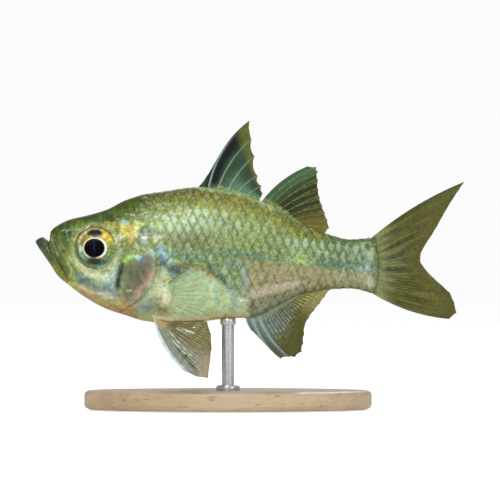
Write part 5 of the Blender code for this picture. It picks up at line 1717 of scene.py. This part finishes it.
class GLASSFISH_OT_stand(bpy.types.Operator):
    """Dress the wooden base and the rod, and add the collar and the saddle"""
    bl_idname = "glassfish.stand"
    bl_label = "Stand"

    def execute(self, context):
        wood = wood_material()
        steel = steel_material()
        for node, material in (("stand_base", wood), ("stand_rod", steel)):
            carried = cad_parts[node]
            carried.data.materials.clear()
            carried.data.materials.append(material)
            for slot in carried.material_slots:
                slot.material = material
        base_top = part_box("stand_base")[1][2]
        rod_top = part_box("stand_rod")[1][2]
        self.collar("rod_collar", base_top, COLLAR, steel)
        self.collar("rod_saddle", rod_top, SADDLE, steel)
        return {"FINISHED"}

    @staticmethod
    def collar(name, level, sizes, material):
        """A turned ring round the rod, with a stepped and rounded top."""
        height, radius, depth = level + sizes[0] * MM, sizes[1] * MM, sizes[2] * MM
        tidy_select()
        bpy.ops.mesh.primitive_cylinder_add(vertices=64, radius=radius, depth=depth,
                                            location=(ROD_X * MM, 0, height))
        ring = bpy.context.object
        ring.name = name
        bpy.ops.object.transform_apply(location=True, rotation=False, scale=False)
        bpy.ops.object.mode_set(mode="EDIT")
        bpy.ops.mesh.select_all(action="DESELECT")
        bpy.ops.object.mode_set(mode="OBJECT")
        for face in ring.data.polygons:
            face.select = face.normal.z > 0.9
        bpy.ops.object.mode_set(mode="EDIT")
        bpy.ops.mesh.inset(thickness=0.35 * (radius - ROD_RADIUS * MM), depth=0)
        bpy.ops.mesh.extrude_region_move(TRANSFORM_OT_translate={"value": (0, 0, RING_STEP * MM)})
        bpy.ops.object.mode_set(mode="OBJECT")
        edges = ring.modifiers.new("edges", "BEVEL")
        edges.width = RING_EDGE * MM
        edges.segments = 3
        edges.limit_method = "ANGLE"
        bpy.ops.object.modifier_apply(modifier=edges.name)
        bpy.ops.object.shade_smooth_by_angle(angle=math.radians(35))
        finish_piece(ring, material, "steel")


# The stage

def soft_light(name, place, aim, size, power):
    data = bpy.data.lights.new(name, "AREA")
    data.shape = "RECTANGLE"
    data.size, data.size_y = size
    data.energy = power
    lamp = bpy.data.objects.new(name, data)
    bpy.context.scene.collection.objects.link(lamp)
    lamp.location = place
    toward = np.array(aim, float) - np.array(place, float)
    flat = math.hypot(toward[0], toward[1])
    lamp.rotation_euler = (math.atan2(flat, -toward[2]), 0, math.atan2(-toward[0], toward[1]))


def seen_by_camera(tree, unseen, seen):
    """One value for what the camera sees, another for what only gives light."""
    camera_ray = tree.nodes.new("ShaderNodeLightPath").outputs["Is Camera Ray"]
    return remap(tree, camera_ray, 0, 1, unseen, seen)


class GLASSFISH_OT_stage(bpy.types.Operator):
    """Make the pale floor that runs on into the sky, the lights, the sky and the camera"""
    bl_idname = "glassfish.stage"
    bl_label = "Stage"

    def execute(self, context):
        self.backdrop()
        self.lights()
        self.camera()
        return {"FINISHED"}

    @staticmethod
    def backdrop():
        """A wide pale floor that glows a little, so that it meets the sky without a line."""
        tidy_select()
        bpy.ops.mesh.primitive_plane_add(size=FLOOR_SIZE, location=(0, 0, -FLOOR_DROP))
        floor = bpy.context.object
        floor.name = "floor"
        material, tree, shader = new_material("floor")
        colour = settings().floor
        fill(shader, {"Base Color": colour, "Roughness": 0.9, "Specular IOR Level": 0,
                      "Emission Color": (1, 1, 1),
                      "Emission Strength": seen_by_camera(tree, 0.1, SKY_SEEN - SKY_LIGHT * colour[0])})
        floor.data.materials.append(material)

    @staticmethod
    def lights():
        world = bpy.context.scene.world or bpy.data.worlds.new("sky")
        bpy.context.scene.world = world
        world.use_nodes = True
        tree = world.node_tree
        fill(tree.nodes["Background"], {"Color": (1, 1, 1),
                                        "Strength": seen_by_camera(tree, SKY_LIGHT, SKY_SEEN)})
        for name, lamp in LAMPS.items():
            soft_light(name, *lamp)

    @staticmethod
    def camera():
        """Level with the fish and square to its side, as in the photo."""
        distance = settings().camera_distance
        data = bpy.data.cameras.new("camera")
        data.sensor_width = 36
        data.lens = data.sensor_width * distance / (PHOTO_SIDE * PHOTO_SCALE * MM)
        data.clip_start = 0.01
        data.clip_end = 20
        camera = bpy.data.objects.new("camera", data)
        bpy.context.scene.collection.objects.link(camera)
        height = (TABLE_ROW - PHOTO_SIDE / 2) * PHOTO_SCALE * MM
        camera.location = (MIDDLE_X * MM, -distance, height)
        camera.rotation_euler = (math.pi / 2, 0, 0)
        bpy.context.scene.camera = camera
        bpy.context.scene.view_settings.view_transform = "Standard"


class GLASSFISH_PT_sidebar(bpy.types.Panel):
    bl_idname = "GLASSFISH_PT_sidebar"
    bl_label = "Glassfish"
    bl_space_type = "VIEW_3D"
    bl_region_type = "UI"
    bl_category = "Glassfish"

    def draw(self, context):
        for name in GlassfishSettings.__annotations__:
            self.layout.prop(context.scene.glassfish, name)
        for operator in OPERATORS:
            self.layout.operator(operator.bl_idname)


OPERATORS = (GLASSFISH_OT_stage, GLASSFISH_OT_skin, GLASSFISH_OT_scales, GLASSFISH_OT_eyes,
             GLASSFISH_OT_middle_fins, GLASSFISH_OT_paired_fins, GLASSFISH_OT_stand)
CLASSES = (GlassfishSettings, *OPERATORS, GLASSFISH_PT_sidebar)


def register():
    for cls in CLASSES:
        bpy.utils.register_class(cls)
    bpy.types.Scene.glassfish = PointerProperty(type=GlassfishSettings)


def unregister():
    del bpy.types.Scene.glassfish
    for cls in reversed(CLASSES):
        bpy.utils.unregister_class(cls)


def main():
    register()
    skin_grain_group()
    scale_marks_group()
    bpy.ops.glassfish.stage()
    bpy.ops.glassfish.skin()
    bpy.ops.glassfish.scales()
    bpy.ops.glassfish.eyes()
    bpy.ops.glassfish.middle_fins()
    bpy.ops.glassfish.paired_fins()
    bpy.ops.glassfish.stand()


if __name__ == "__main__":
    main()
